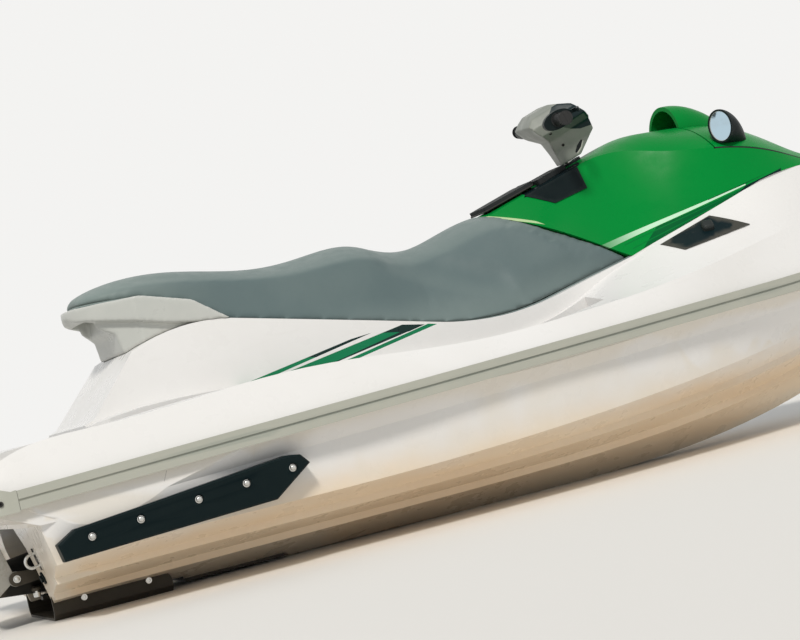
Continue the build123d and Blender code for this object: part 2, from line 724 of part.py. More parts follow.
with BuildPart() as stern_bumpers:
    with BuildSketch(Plane.XY.offset(200)):
        add(outline(0))
        add(outline(RAIL_THICK - SKIN_GAP), mode=Mode.SUBTRACT)
        with Locations((at(BUMPER_LENGTH / 2 - 51), 0)):
            Rectangle(BUMPER_LENGTH + 100, 2000, mode=Mode.INTERSECT)
            Rectangle(BUMPER_LENGTH + 100, 2 * BUMPER_INNER, mode=Mode.SUBTRACT)
    extrude(amount=500)
    with BuildSketch(Plane.XZ):
        with BuildLine():
            low = SHEER_Z - RAIL_HEIGHT / 2 - 3
            top = SHEER_Z + RAIL_HEIGHT / 2 + 4
            Polyline(
                (at(-10), low), (at(BUMPER_LENGTH), low + 3), (at(BUMPER_LENGTH), top + 2),
                (at(BUMPER_LENGTH - 14), top), (at(BUMPER_LENGTH - 50), top + 14), (at(-10), top + 14),
                close=True
            )
        make_face()
    extrude(amount=700, both=True, mode=Mode.INTERSECT)

with BuildPart() as seat:
    for station, crown_z, top_y, edge_z, low_y in SEAT_ROWS:
        with BuildSketch(Plane.YZ.offset(at(station))):
            with BuildLine():
                ThreePointArc((-top_y, edge_z), (0, crown_z), (top_y, edge_z))
                Polyline((top_y, edge_z), (low_y, SEAT_LOW), (-low_y, SEAT_LOW), (-top_y, edge_z))
            make_face()
    loft()
    with BuildSketch(Plane.XZ):
        add(coaming(1300, SKIN_GAP))
    extrude(amount=400, both=True, mode=Mode.INTERSECT)
    with BuildSketch(Plane.XZ):
        add(nose_side(-SKIN_GAP))
    extrude(amount=400, both=True, mode=Mode.SUBTRACT)

with BuildPart() as hood:
    for row in HOOD_ROWS:
        with BuildSketch(Plane.YZ.offset(at(row[0]))):
            add(hood_section(row, 0))
    loft()
    with BuildSketch(Plane.XZ):
        add(nose_side(0))
    extrude(amount=400, both=True, mode=Mode.INTERSECT)
    add(over_coaming.part, mode=Mode.INTERSECT)

with BuildPart() as hood_hollow:
    for row in HOOD_ROWS:
        with BuildSketch(Plane.YZ.offset(at(row[0]))):
            add(hood_section(row, HATCH_WALL))
    loft()
    with BuildSketch(Plane.YZ.offset(at(HATCH_AFT + HATCH_WALL))):
        Rectangle(2000, 4000)
    extrude(amount=HOOD_ROWS[-1][0] - HATCH_AFT - 5 * HATCH_WALL, mode=Mode.INTERSECT)

# The low side walls that the console runs forward under the hatch
with BuildPart() as hood_skirt:
    add(hood.part)
    add(hood_hollow.part, mode=Mode.SUBTRACT)
    with BuildSketch(Plane.XZ):
        add(below_ridge(-SWING_GAP))
        with Locations((at(SKIRT_FORE), WELL_FLOOR)):
            Rectangle(2000, 2000, align=(Align.MAX, Align.CENTER), mode=Mode.INTERSECT)
    extrude(amount=400, both=True, mode=Mode.INTERSECT)

with BuildPart() as console_block:
    add(hood.part)
    with BuildSketch(Plane.YZ.offset(at(HATCH_AFT - SWING_GAP))):
        Rectangle(2000, 4000)
    extrude(amount=-2000, mode=Mode.INTERSECT)
    add(hood_skirt.part)

with BuildPart() as console:
    add(console_block.part)
    # Glove box, then the hole that the steering column goes down
    with BuildSketch(LID_PLANE.offset(LID_THICK)):
        with Locations((-LID_LENGTH / 2, 0)):
            RectangleRounded(LID_LENGTH - 2 * GLOVEBOX_INSET, 2 * (LID_HALF[0] - GLOVEBOX_INSET / 2), 12)
    extrude(amount=-GLOVEBOX_DEPTH - LID_THICK, mode=Mode.SUBTRACT)
    with BuildSketch(STEER.offset(COLLAR_TOP + 30)):
        Circle(COLUMN_RADIUS + SKIN_GAP)
    extrude(amount=-COLUMN_DEPTH - COLLAR_TOP - 30, mode=Mode.SUBTRACT)

with BuildPart() as glovebox_lid:
    with BuildSketch(LID_PLANE.offset(SWING_GAP)):
        with BuildLine():
            Polyline(
                (0, LID_HALF[1]), (-LID_LENGTH, LID_HALF[0]), (-LID_LENGTH, -LID_HALF[0]), (0, -LID_HALF[1]),
                close=True
            )
        make_face()
        fillet(vertices(), 9)
    extrude(amount=LID_THICK)
    for side in (1, -1):
        inner, outer = LID_KNUCKLES
        with BuildSketch(LID_SIDE.offset(side * inner)):
            with Locations(LID_PIN):
                Circle(LID_KNUCKLE)
            with Locations((LID_PIN[0] / 2 - 4, LID_PIN[1])):
                Rectangle(LID_PIN[0] + 8, 2 * LID_KNUCKLE - 4)
            with Locations(LID_PIN):
                Circle(LID_PIN_RADIUS + SKIN_GAP, mode=Mode.SUBTRACT)
        extrude(amount=side * (outer - inner))

with BuildPart() as lid_hinge:
    inner, outer = LID_KNUCKLES
    with BuildSketch(LID_SIDE):
        with Locations(LID_PIN):
            Circle(LID_KNUCKLE)
        with Locations((LID_PIN[0], LID_PIN[1] / 2 - 3)):
            Rectangle(2 * LID_KNUCKLE - 3, LID_PIN[1] + 6)
    extrude(amount=inner - 1, both=True)
    add(Pos(0, 0, SKIN_GAP) * console.part, mode=Mode.SUBTRACT)
    with BuildSketch(LID_SIDE):
        with Locations(LID_PIN):
            Circle(LID_PIN_RADIUS)
    extrude(amount=outer, both=True)

with BuildPart() as console_pad:
    aft, fore = PAD_ENDS
    with BuildSketch(LID_PLANE.offset(-10)):
        with BuildLine():
            Polyline(
                (aft, PAD_HALF[0]), (fore, PAD_HALF[1]), (fore, -PAD_HALF[1]), (aft, -PAD_HALF[0]), close=True
            )
        make_face()
        fillet(vertices(), 8)
    extrude(amount=PAD_THICK + 10)
    add(Pos(0, 0, SKIN_GAP) * console.part, mode=Mode.SUBTRACT)


with BuildPart() as hatch_block:
    add(hood.part)
    with BuildSketch(Plane.XZ):
        add(coaming(1300, SWING_GAP))
        add(below_ridge(0), mode=Mode.SUBTRACT)
        with Locations((at(HATCH_AFT), 0)):
            Rectangle(2000, 3000, align=(Align.MIN, Align.CENTER), mode=Mode.INTERSECT)
    extrude(amount=400, both=True, mode=Mode.INTERSECT)

HINGE_X, HINGE_Z = at(HATCH_PIN[0]), joint_z(HATCH_PIN[0]) + HATCH_PIN[1]

with BuildPart() as hatch_hinge:
    with BuildSketch(Plane.XZ):
        with Locations((HINGE_X, HINGE_Z)):
            Circle(HINGE_BOSS)
        with Locations((HINGE_X, HINGE_Z - HATCH_PIN[1])):
            Rectangle(2 * HINGE_BOSS - 4, 2 * HATCH_PIN[1])
        add(coaming(0, SKIN_GAP), mode=Mode.SUBTRACT)
    extrude(amount=HINGE_HALF, both=True)
    with BuildSketch(Plane.XZ):
        with Locations((HINGE_X, HINGE_Z)):
            Circle(HINGE_PIN)
    extrude(amount=HINGE_PIN_HALF, both=True)

with BuildPart() as hatch:
    add(hatch_block.part)
    add(hood_hollow.part, mode=Mode.SUBTRACT)
    # The nose is rounded under the pin, so that it clears the deck as it tips
    with BuildSketch(Plane.XZ):
        with Locations((HINGE_X - HINGE_BOSS, HINGE_Z)):
            Rectangle(90, 90, align=(Align.MIN, Align.MAX))
        with Locations((HINGE_X, HINGE_Z)):
            Circle(0.94 * HATCH_PIN[1] - SWING_GAP, mode=Mode.SUBTRACT)
    extrude(amount=400, both=True, mode=Mode.SUBTRACT)
    # Slot for the hinge's knuckle, open at the nose's lower edge, and the bore of its pin
    with BuildSketch(Plane.XZ):
        with Locations((HINGE_X, HINGE_Z)):
            Circle(HINGE_BOSS + SWING_GAP)
        with BuildLine():
            Polyline(
                (HINGE_X - HINGE_BOSS - 3, HINGE_Z), (HINGE_X + 80, HINGE_Z), (HINGE_X + 80, HINGE_Z - 90),
                (HINGE_X - HINGE_BOSS - 3, HINGE_Z - 90), close=True
            )
        make_face()
    extrude(amount=HINGE_HALF + 1, both=True, mode=Mode.SUBTRACT)
    with BuildSketch(Plane.XZ):
        with Locations((HINGE_X, HINGE_Z)):
            Circle(HINGE_PIN + SKIN_GAP)
    extrude(amount=HINGE_PIN_HALF + 1, both=True, mode=Mode.SUBTRACT)

with BuildPart() as tail_lip:
    with BuildSketch(Plane.XY.offset(600)):
        add(tail_plan(0))
    extrude(amount=240)
    with BuildSketch(Plane.XZ):
        with BuildLine():
            Polyline(
                (at(TAIL_END - 8), 790), (at(TAIL_END + 16), 766), (at(494), 748), (at(649), 705),
                (at(806), 678), (at(830), 678), (at(830), 860), (at(TAIL_END - 8), 860), close=True
            )
        make_face()
    extrude(amount=400, both=True, mode=Mode.INTERSECT)

with BuildPart() as tail_handle:
    # Flared panel, then the overhanging lip with its finger slot
    with BuildSketch(Plane.XY.offset(600)):
        add(tail_plan(TAIL_INSET))
    extrude(amount=200)
    with BuildSketch(Plane.XZ):
        with BuildLine():
            Polyline((at(520), 600), (at(520), 652), (at(511), 709), (at(470), 740), (at(470), 800),
                     (at(830), 800), (at(830), 600), close=True)
        make_face()
    extrude(amount=400, both=True, mode=Mode.INTERSECT)
    add(tail_lip.part)
    with BuildSketch(Plane.XZ):
        add(pedestal_side(SKIN_GAP))
        add(coaming(1300))
    extrude(amount=400, both=True, mode=Mode.SUBTRACT)
    with BuildSketch(Plane.XY.offset(600)):
        with Locations((at(sum(GRAB_SLOT) / 2), 0)):
            Rectangle(GRAB_SLOT[1] - GRAB_SLOT[0], 2 * GRAB_HALF)
    extrude(amount=GRAB_TOP - 600, mode=Mode.SUBTRACT)

with BuildPart() as sponsons:
    (low_y, low_z), (top_y, top_z) = SPONSON_FACE
    with BuildSketch(Plane.XZ):
        with BuildLine():
            Polyline(*[(at(station), height) for station, height in SPONSON_CORNERS], close=True)
        make_face()
    extrude(amount=-700)
    with BuildSketch(Plane.YZ.offset(at(0))):
        with BuildLine():
            Polyline(
                (400, low_z), (low_y + SPONSON_PROUD, low_z), (top_y + SPONSON_PROUD, top_z), (400, top_z),
                close=True
            )
        make_face()
    extrude(amount=1000, mode=Mode.INTERSECT)
    chamfer(faces().sort_by(Axis.Y)[-1].edges(), SPONSON_EDGE)
    radius, depth = BOLT_RECESS
    for station, height in SPONSON_BOLTS:
        face_y = low_y + SPONSON_PROUD + (height - low_z) * (top_y - low_y) / (top_z - low_z)
        with BuildSketch(Plane.XZ.offset(depth - face_y)):
            with Locations((at(station), height)):
                Circle(radius)
        extrude(amount=-2 * radius, mode=Mode.SUBTRACT)
    add(Pos(0, SKIN_GAP, 0) * hull.part, mode=Mode.SUBTRACT)
    mirror(about=Plane.XZ)

with BuildPart() as ride_plate:
    aft, fore = RIDE_PLATE
    inner = RIDE_HALF - RIDE_WALL
    side_z = bottom_z(RIDE_HALF) + RIDE_WALL
    with BuildSketch(Plane.YZ.offset(at(aft))):
        add(cross_section([
            (0, 0), (RIDE_HALF - 16, 0), (RIDE_HALF, 16), (RIDE_HALF, side_z), (inner, side_z),
            (inner, 16 + RIDE_WALL), (inner - 12, RIDE_WALL), (0, RIDE_WALL),
        ]))
    extrude(amount=fore - aft)
    with BuildSketch(Plane.XZ):
        with BuildLine():
            foot = Line((at(aft), 0), (at(fore), 0))
            nose = Line(foot @ 1, (at(fore), side_z - RIDE_NOSE))
            shoulder = TangentArc(nose @ 1, (at(fore - RIDE_NOSE), side_z), tangent=(0, 1))
            Polyline(shoulder @ 1, (at(aft), side_z), foot @ 0)
        make_face()
    extrude(amount=RIDE_HALF, both=True, mode=Mode.INTERSECT)
    add(Pos(0, 0, -SKIN_GAP) * hull.part, mode=Mode.SUBTRACT)

with BuildPart() as intake_grate:
    aft, fore = GRATE_ENDS
    with BuildSketch(Plane.XY.offset(GRATE_Z)):
        with Locations((at((aft + fore) / 2), 0)):
            Rectangle(fore - aft, 2 * (INTAKE_HALF - SKIN_GAP))
            Rectangle(fore - aft - 4 * GRATE_BAR, 2 * (INTAKE_HALF - GRATE_BAR), mode=Mode.SUBTRACT)
            with GridLocations(0, INTAKE_HALF / 2, 1, 3):
                Rectangle(fore - aft, GRATE_BAR)
    extrude(amount=GRATE_THICK)

with BuildPart() as pump:
    aft, fore = PUMP_ENDS
    with BuildSketch(Plane.XZ):
        with BuildLine():
            Polyline(
                (at(fore), SHAFT_Z + 104), (at(fore - 12), SHAFT_Z + 104),
                (at(fore - 12), SHAFT_Z + PUMP_RADIUS), (at(aft + 30), SHAFT_Z + PUMP_RADIUS),
                (at(245), SHAFT_Z + NOZZLE_THROAT + 6),
                (at(195), SHAFT_Z + NOZZLE_THROAT + 5), (at(195), SHAFT_Z + NOZZLE_THROAT),
                (at(245), SHAFT_Z + NOZZLE_THROAT), (at(aft + 30), SHAFT_Z + PUMP_BORE),
                (at(fore), SHAFT_Z + PUMP_BORE), close=True
            )
        make_face()
        with BuildLine():
            Polyline(
                (at(430), SHAFT_Z), (at(430), SHAFT_Z + HUB_RADIUS), (at(340), SHAFT_Z + HUB_RADIUS),
                (at(262), SHAFT_Z + 8), (at(262), SHAFT_Z), close=True
            )
        make_face()
    revolve(axis=Axis((0, 0, SHAFT_Z), (1, 0, 0)))
    # Stator vanes between hub and bore
    with BuildSketch(Plane.YZ.offset(at(345))):
        with Locations((0, SHAFT_Z)):
            with PolarLocations((HUB_RADIUS + PUMP_BORE) / 2, VANES):
                Rectangle(PUMP_BORE - HUB_RADIUS + 4, 5)
    extrude(amount=75)
    # Arms above and below the steering nozzle
    with BuildSketch(Plane.XZ):
        for side in (1, -1):
            with BuildLine():
                Polyline(
                    (at(STEER_PIVOT - 14), SHAFT_Z + side * ARM_Z),
                    (at(STEER_PIVOT - 14), SHAFT_Z + side * (ARM_Z + 9)),
                    (at(aft + 50), SHAFT_Z + side * (ARM_Z + 22)),
                    (at(aft + 50), SHAFT_Z + side * ARM_Z), close=True
                )
            make_face()
    extrude(amount=14, both=True)
    with BuildSketch(Plane.XY.offset(SHAFT_Z - ARM_Z - 30)):
        with Locations((at(STEER_PIVOT), 0)):
            Circle(PIVOT_PIN + SKIN_GAP)
    extrude(amount=30.1, mode=Mode.SUBTRACT)
    with BuildSketch(Plane.XY.offset(SHAFT_Z + ARM_Z - 0.1)):
        with Locations((at(STEER_PIVOT), 0)):
            Circle(PIVOT_PIN + SKIN_GAP)
    extrude(amount=30, mode=Mode.SUBTRACT)
    # Side brackets that carry the reverse gate
    with BuildSketch(Plane.XZ.offset(GATE_ARM_Y)):
        with BuildLine():
            Polyline(
                (at(GATE_PIVOT), SHAFT_Z + 19), (at(STEER_PIVOT), SHAFT_Z + 12), (at(aft + 55), SHAFT_Z + 16),
                (at(aft + 55), SHAFT_Z - 16), (at(STEER_PIVOT), SHAFT_Z - 12), (at(GATE_PIVOT), SHAFT_Z - 19),
                close=True
            )
        make_face()
        with Locations((at(GATE_PIVOT), SHAFT_Z)):
            Circle(19)
            Circle(GATE_PIN + SKIN_GAP, mode=Mode.SUBTRACT)
    extrude(amount=GATE_ARM_THICK)
    with BuildSketch(Plane.XZ.offset(GATE_ARM_Y - 50)):
        with Locations((at(aft + 36), SHAFT_Z)):
            Rectangle(34, 28)
    extrude(amount=51)
    mirror(about=Plane.XZ)

with BuildPart() as impeller:
    aft, fore = IMPELLER_ENDS
    with BuildSketch(Plane.YZ.offset(at(aft))):
        with Locations((0, SHAFT_Z)):
            Circle(HUB_RADIUS - 1)
    extrude(amount=fore - aft)
    for k in range(BLADES):
        angle = 360 * k / BLADES + 90
        out = Vector(0, cos(radians(angle)), sin(radians(angle)))
        middle = Vector(at((aft + fore) / 2), 0, SHAFT_Z)
        with BuildSketch(Plane(origin=middle + out * (HUB_RADIUS - 8), x_dir=(1, 0, 0), z_dir=out)):
            Rectangle(58, 7, rotation=38)
        with BuildSketch(Plane(origin=middle + out * (PUMP_BORE + 4), x_dir=(1, 0, 0), z_dir=out)):
            Rectangle(92, 4, rotation=58)
        loft()
    with BuildSketch(Plane.YZ.offset(at(aft - 20))):
        with Locations((0, SHAFT_Z)):
            Circle(PUMP_BORE - IMPELLER_GAP)
    extrude(amount=fore - aft + 40, mode=Mode.INTERSECT)

with BuildPart() as drive_shaft:
    with BuildSketch(Plane.YZ.offset(at(IMPELLER_ENDS[1]))):
        with Locations((0, SHAFT_Z)):
            Circle(SHAFT_RADIUS)
    extrude(amount=ENGINE_ENDS[0] - IMPELLER_ENDS[1] - SKIN_GAP)

with BuildPart() as engine:
    with BuildSketch(Plane.XY.offset(ENGINE_BAY_FLOOR)):
        with Locations((at(sum(ENGINE_ENDS) / 2), 0)):
            Rectangle(ENGINE_ENDS[1] - ENGINE_ENDS[0], 2 * ENGINE_HALF)
    extrude(amount=ENGINE_TOP - ENGINE_BAY_FLOOR)
    chamfer(faces().sort_by(Axis.Z)[-1].edges(), 18)

with BuildPart() as steering_nozzle:
    with BuildSketch(NOZZLE_SIDE):
        with BuildLine():
            Polyline(
                (6, NOZZLE_RADIUS + 6), (-140, NOZZLE_RADIUS - 10), (-140, NOZZLE_RADIUS - 16),
                (6, NOZZLE_RADIUS), close=True
            )
        make_face()
    revolve(axis=Axis(NOZZLE.origin, NOZZLE.x_dir))
    for side in (1, -1):
        with BuildSketch(NOZZLE.offset(side * (NOZZLE_RADIUS + 1))):
            Circle(14)
        extrude(amount=side * (ARM_Z - NOZZLE_RADIUS - 1 - SKIN_GAP))
        with BuildSketch(NOZZLE.offset(side * (NOZZLE_RADIUS + 3))):
            Circle(PIVOT_PIN)
        extrude(amount=side * (ARM_Z + 8 - NOZZLE_RADIUS))
    with BuildSketch(NOZZLE.offset(ROD_Z + 10 - SHAFT_Z)):
        with BuildLine():
            Polyline(
                (-54, -38), (-30, -44), (LINK_X + 12, -LINK_Y + 4), (LINK_X - 12, -LINK_Y + 4), close=True
            )
        make_face()
        with Locations((LINK_X, -LINK_Y)):
            Circle(11)
    extrude(amount=8)
    with BuildSketch(NOZZLE_SIDE):
        with BuildLine():
            Polyline((20, 0), (20, NOZZLE_RADIUS - 0.5), (-139, NOZZLE_RADIUS - 16.5), (-139, 0), close=True)
        make_face()
    revolve(axis=Axis(NOZZLE.origin, NOZZLE.x_dir), mode=Mode.SUBTRACT)

with BuildPart() as steering_rod:
    with BuildSketch(Plane.YZ.offset(ROD_EYE.X + 7)):
        with Locations((ROD_EYE.Y, ROD_Z)):
            Circle(ROD_RADIUS)
    extrude(amount=ROD_LENGTH)
    with BuildSketch(Plane.XY.offset(ROD_Z - 6)):
        with Locations((ROD_EYE.X, ROD_EYE.Y)):
            Circle(10)
    extrude(amount=12)
    with BuildSketch(Plane.XY.offset(ROD_Z)):
        with Locations((ROD_EYE.X, ROD_EYE.Y)):
            Circle(ROD_RADIUS)
    extrude(amount=10 - SKIN_GAP)

with BuildPart() as rod_gland:
    with BuildSketch(Plane.XY.offset(ROD_Z)):
        front = at(RECESS_FRONT - 1)
        with BuildLine():
            Polyline(
                (front, ROD_EYE.Y + ROD_RADIUS + SKIN_GAP), (front, ROD_EYE.Y + 17),
                (front - 8, ROD_EYE.Y + 17), (front - 8, ROD_EYE.Y + 13),
                (front - GLAND_LENGTH, ROD_EYE.Y + 9),
                (front - GLAND_LENGTH, ROD_EYE.Y + ROD_RADIUS + SKIN_GAP), close=True
            )
        make_face()
    revolve(axis=Axis((0, ROD_EYE.Y, ROD_Z), (1, 0, 0)))

with BuildPart() as reverse_gate:
    with BuildSketch(Plane.XZ):
        add(gate_sector(GATE_RADIUS))
        add(gate_sector(GATE_RADIUS - GATE_WALL), mode=Mode.SUBTRACT)
    extrude(amount=CHEEK_Y + CHEEK_THICK, both=True)
    for side in (1, -1):
        with BuildSketch(Plane.XZ.offset(side * CHEEK_Y)):
            add(gate_sector(GATE_RADIUS))
            with Locations((at(GATE_PIVOT), SHAFT_Z)):
                Circle(20)
        extrude(amount=side * CHEEK_THICK)
        with BuildSketch(Plane.XZ.offset(side * (CHEEK_Y + 1))):
            with Locations((at(GATE_PIVOT), SHAFT_Z)):
                Circle(GATE_PIN)
        extrude(amount=side * (GATE_ARM_Y + GATE_ARM_THICK - CHEEK_Y + 1))

with BuildPart() as handlebar:
    with BuildLine(STEER.offset(BAR_HEIGHT)) as bar_line:
        FilletPolyline(
            (BAR_END[0], -BAR_END[1]), (BAR_BEND[0], -BAR_BEND[1]), (0, -BAR_MIDDLE), (0, BAR_MIDDLE),
            (BAR_BEND[0], BAR_BEND[1]), (BAR_END[0], BAR_END[1]), radius=60
        )
    with BuildSketch(Plane(origin=bar_line.line @ 0, z_dir=bar_line.line % 0)):
        Circle(BAR_RADIUS)
    sweep()

with BuildPart() as steering_cover:
    with BuildSketch(STEER_SIDE):
        with BuildLine():
            Polyline(
                (-30, COLLAR_TOP + SWING_GAP), (-34, 100), (-62, 138), (-76, 172), (-42, 200), (20, 200),
                (75, 170), (112, 108), (112, 64), (40, COLLAR_TOP + SWING_GAP), close=True
            )
        make_face()
        fillet(vertices().filter_by(lambda v: v.Z > COLUMN_BASE[1] + 90), 14)
    extrude(amount=COVER_HALF + 12, both=True)
    with BuildSketch(STEER_FRONT):
        add(cross_section([
            (0, 0), (38, 0), (42, 55), (62, 98), (COVER_HALF - 6, 126), (COVER_HALF, 158), (100, 188),
            (60, 202), (0, 205),
        ]))
    extrude(amount=300, both=True, mode=Mode.INTERSECT)
    add(handlebar.part, mode=Mode.SUBTRACT)
    with BuildSketch(STEER):
        Circle(COLUMN_RADIUS)
    extrude(amount=COLUMN_TOP, mode=Mode.SUBTRACT)

with BuildPart() as steering_column:
    with BuildSketch(STEER.offset(-COLUMN_DEPTH)):
        Circle(COLUMN_RADIUS)
    extrude(amount=COLUMN_DEPTH + COLUMN_TOP)

with BuildPart() as grips:
    for side in (1, -1):
        with BuildSketch(bar_end_plane(side)):
            Circle(GRIP_RADIUS)
            Circle(BAR_RADIUS, mode=Mode.SUBTRACT)
        extrude(amount=-GRIP_LENGTH)
        with BuildSketch(bar_end_plane(side)):
            Circle(GRIP_RADIUS + GRIP_RIM)
        extrude(amount=GRIP_CAP)
        with BuildSketch(bar_end_plane(side).offset(-GRIP_LENGTH)):
            Circle(GRIP_RADIUS + GRIP_RIM)
            Circle(BAR_RADIUS, mode=Mode.SUBTRACT)
        extrude(amount=GRIP_RIM)

with BuildPart() as bar_controls:
    for side in (1, -1):
        with BuildSketch(bar_end_plane(side).offset(-GRIP_LENGTH - CONTROL_LENGTH - 1)):
            Ellipse(CONTROL_HALF[1], CONTROL_HALF[0])
            Circle(BAR_RADIUS, mode=Mode.SUBTRACT)
        extrude(amount=CONTROL_LENGTH)

with BuildPart() as deck_mats:
    with BuildSketch(Plane.XY.offset(FOOTWELL_FLOOR)):
        add(footwell_plan(-MAT_EDGE))
    extrude(amount=MAT_THICK)
    with BuildSketch(Plane.XY.offset(DECK_TOP)):
        with Locations((at(sum(PLATFORM_MAT) / 2), 0)):
            RectangleRounded(PLATFORM_MAT[1] - PLATFORM_MAT[0], 2 * (PLATFORM_HALF - 3 * MAT_EDGE), 30)
    extrude(amount=MAT_THICK)

with BuildPart() as side_vents:
    with BuildSketch(Plane.XZ.offset(100)):
        with BuildLine():
            Polyline(*[(at(station), height) for station, height in VENT_CORNERS], close=True)
        make_face()
    extrude(amount=400)
    add(Pos(0, -VENT_PROUD, 0) * deck.part, mode=Mode.INTERSECT)
    add(Pos(0, -SKIN_GAP, 0) * deck.part, mode=Mode.SUBTRACT)
    mirror(about=Plane.XZ)

with BuildPart() as console_panels:
    with BuildSketch(Plane.XZ.offset(30)):
        with BuildLine():
            Polyline(*[(at(station), height) for station, height in PANEL_CORNERS], close=True)
        make_face()
    extrude(amount=300)
    add(Pos(0, -PANEL_PROUD, 0) * console.part, mode=Mode.INTERSECT)
    add(Pos(0, -SKIN_GAP, 0) * console.part, mode=Mode.SUBTRACT)
    mirror(about=Plane.XZ)

with BuildPart() as mirrors:
    for depth, half_across, half_up, drop in MIRROR_ROWS:
        with BuildSketch(MIRROR.offset(depth)):
            with Locations((0, -drop)):
                Ellipse(half_across, half_up)
    loft()
    with BuildSketch(MIRROR):
        Ellipse(MIRROR_ROWS[0][1] - MIRROR_RIM, MIRROR_ROWS[0][2] - MIRROR_RIM)
    extrude(amount=2 * GLASS_THICK, mode=Mode.SUBTRACT)
    add(Pos(0, -SKIN_GAP, SKIN_GAP) * hatch_block.part, mode=Mode.SUBTRACT)
    mirror(about=Plane.XZ)

with BuildPart() as mirror_glasses:
    with BuildSketch(MIRROR.offset(GLASS_THICK)):
        Ellipse(MIRROR_ROWS[0][1] - MIRROR_RIM - SKIN_GAP, MIRROR_ROWS[0][2] - MIRROR_RIM - SKIN_GAP)
    extrude(amount=GLASS_THICK - SKIN_GAP)
    mirror(about=Plane.XZ)

with BuildPart() as storage_bin:
    with BuildSketch(Plane.XY.offset(WELL_FLOOR + SKIN_GAP)):
        add(well_plan(BIN_GAP))
    extrude(amount=BIN_HEIGHT)
    with BuildSketch(Plane.XY.offset(WELL_FLOOR + SKIN_GAP + BIN_WALL)):
        add(well_plan(BIN_GAP + BIN_WALL))
    extrude(amount=BIN_HEIGHT, mode=Mode.SUBTRACT)

with BuildPart() as hatch_seal:
    add(hood.part)
    add(hood_hollow.part, mode=Mode.SUBTRACT)
    with BuildSketch(Plane.XZ):
        add(below_ridge(-SKIN_GAP))
        add(below_ridge(SKIN_GAP - SWING_GAP), mode=Mode.SUBTRACT)
        with Locations((at((HATCH_AFT + SKIRT_FORE) / 2), WELL_FLOOR)):
            Rectangle(SKIRT_FORE - HATCH_AFT, 2000, mode=Mode.INTERSECT)
    extrude(amount=400, both=True, mode=Mode.INTERSECT)

with BuildPart() as column_collar:
    with BuildSketch(COLLAR_PLANE):
        Circle(COLLAR_RADIUS)
    extrude(amount=-COLUMN_TOP)
    add(Pos(0, 0, SKIN_GAP) * console_block.part, mode=Mode.SUBTRACT)
    with BuildSketch(COLLAR_PLANE):
        Circle(COLUMN_RADIUS + SKIN_GAP)
    extrude(amount=-COLUMN_DEPTH, mode=Mode.SUBTRACT)

with BuildPart() as drain_plugs:
    with BuildSketch(TRANSOM_PLANE):
        with Locations((-DRAIN_PLACE[0], DRAIN_PLACE[1]), DRAIN_PLACE):
            Circle(17)
    extrude(amount=4)
    with BuildSketch(TRANSOM_PLANE.offset(4)):
        with Locations((-DRAIN_PLACE[0], DRAIN_PLACE[1]), DRAIN_PLACE):
            RegularPolygon(11, 6)
    extrude(amount=6)

with BuildPart() as stern_eyes:
    with BuildSketch(TRANSOM_PLANE):
        with Locations((-EYE_PLACE[0], EYE_PLACE[1]), EYE_PLACE):
            RectangleRounded(34, 62, 8)
    extrude(amount=4)
    for side in (1, -1):
        foot = Vector(side * EYE_PLACE[0], EYE_PLACE[1] + 17, 3)
        far = Vector(side * EYE_PLACE[0], EYE_PLACE[1] - 17, 3)
        bend = (foot + Vector(0, 0, EYE_RISE), (foot + far) * 0.5 + Vector(0, 0, EYE_RISE + 17),
                far + Vector(0, 0, EYE_RISE))
        with BuildLine():
            rise = Line(TRANSOM_PLANE.from_local_coords(foot), TRANSOM_PLANE.from_local_coords(bend[0]))
            loop = ThreePointArc(*[TRANSOM_PLANE.from_local_coords(point) for point in bend])
            Line(loop @ 1, TRANSOM_PLANE.from_local_coords(far))
        with BuildSketch(Plane(origin=rise @ 0, z_dir=rise % 0)):
            Circle(EYE_WIRE)
        sweep()

with BuildPart() as bow_eye:
    with BuildSketch(Plane.XZ.offset(-6)):
        with Locations((at(BOW_EYE[0]), BOW_EYE[1])):
            Circle(22)
            Circle(BOW_EYE_HOLE, mode=Mode.SUBTRACT)
        with BuildLine():
            Polyline(
                (at(BOW_EYE[0] - 10), BOW_EYE[1] + 14), (at(BOW_EYE[0] - 60), BOW_EYE[1] + 90),
                (at(BOW_EYE[0] - 20), BOW_EYE[1] + 110), (at(BOW_EYE[0] + 20), BOW_EYE[1] + 10), close=True
            )
        make_face()
        with Locations((at(BOW_EYE[0]), BOW_EYE[1])):
            Circle(BOW_EYE_HOLE, mode=Mode.SUBTRACT)
    extrude(amount=12)
    add(Pos(SKIN_GAP, 0, -SKIN_GAP) * hull.part, mode=Mode.SUBTRACT)
    add(Pos(SKIN_GAP, 0, -SKIN_GAP) * deck.part, mode=Mode.SUBTRACT)

with BuildPart() as gauge_visor:
    for station, half_y, low_z, top_z in VISOR_ROWS:
        with BuildSketch(Plane.YZ.offset(at(station))):
            with BuildLine():
                ThreePointArc((-half_y, low_z), (0, top_z), (half_y, low_z))
                Line((half_y, low_z), (-half_y, low_z))
            make_face()
    loft()
    for station, half_y, low_z, top_z in VISOR_ROWS[:-1]:
        with BuildSketch(Plane.YZ.offset(at(station - 1))):
            with BuildLine():
                ThreePointArc(
                    (VISOR_WALL - half_y, low_z - 1), (0, top_z - VISOR_WALL),
                    (half_y - VISOR_WALL, low_z - 1),
                )
                Line((half_y - VISOR_WALL, low_z - 1), (VISOR_WALL - half_y, low_z - 1))
            make_face()
    loft(mode=Mode.SUBTRACT)
    add(Pos(0, 0, SKIN_GAP) * hatch_block.part, mode=Mode.SUBTRACT)

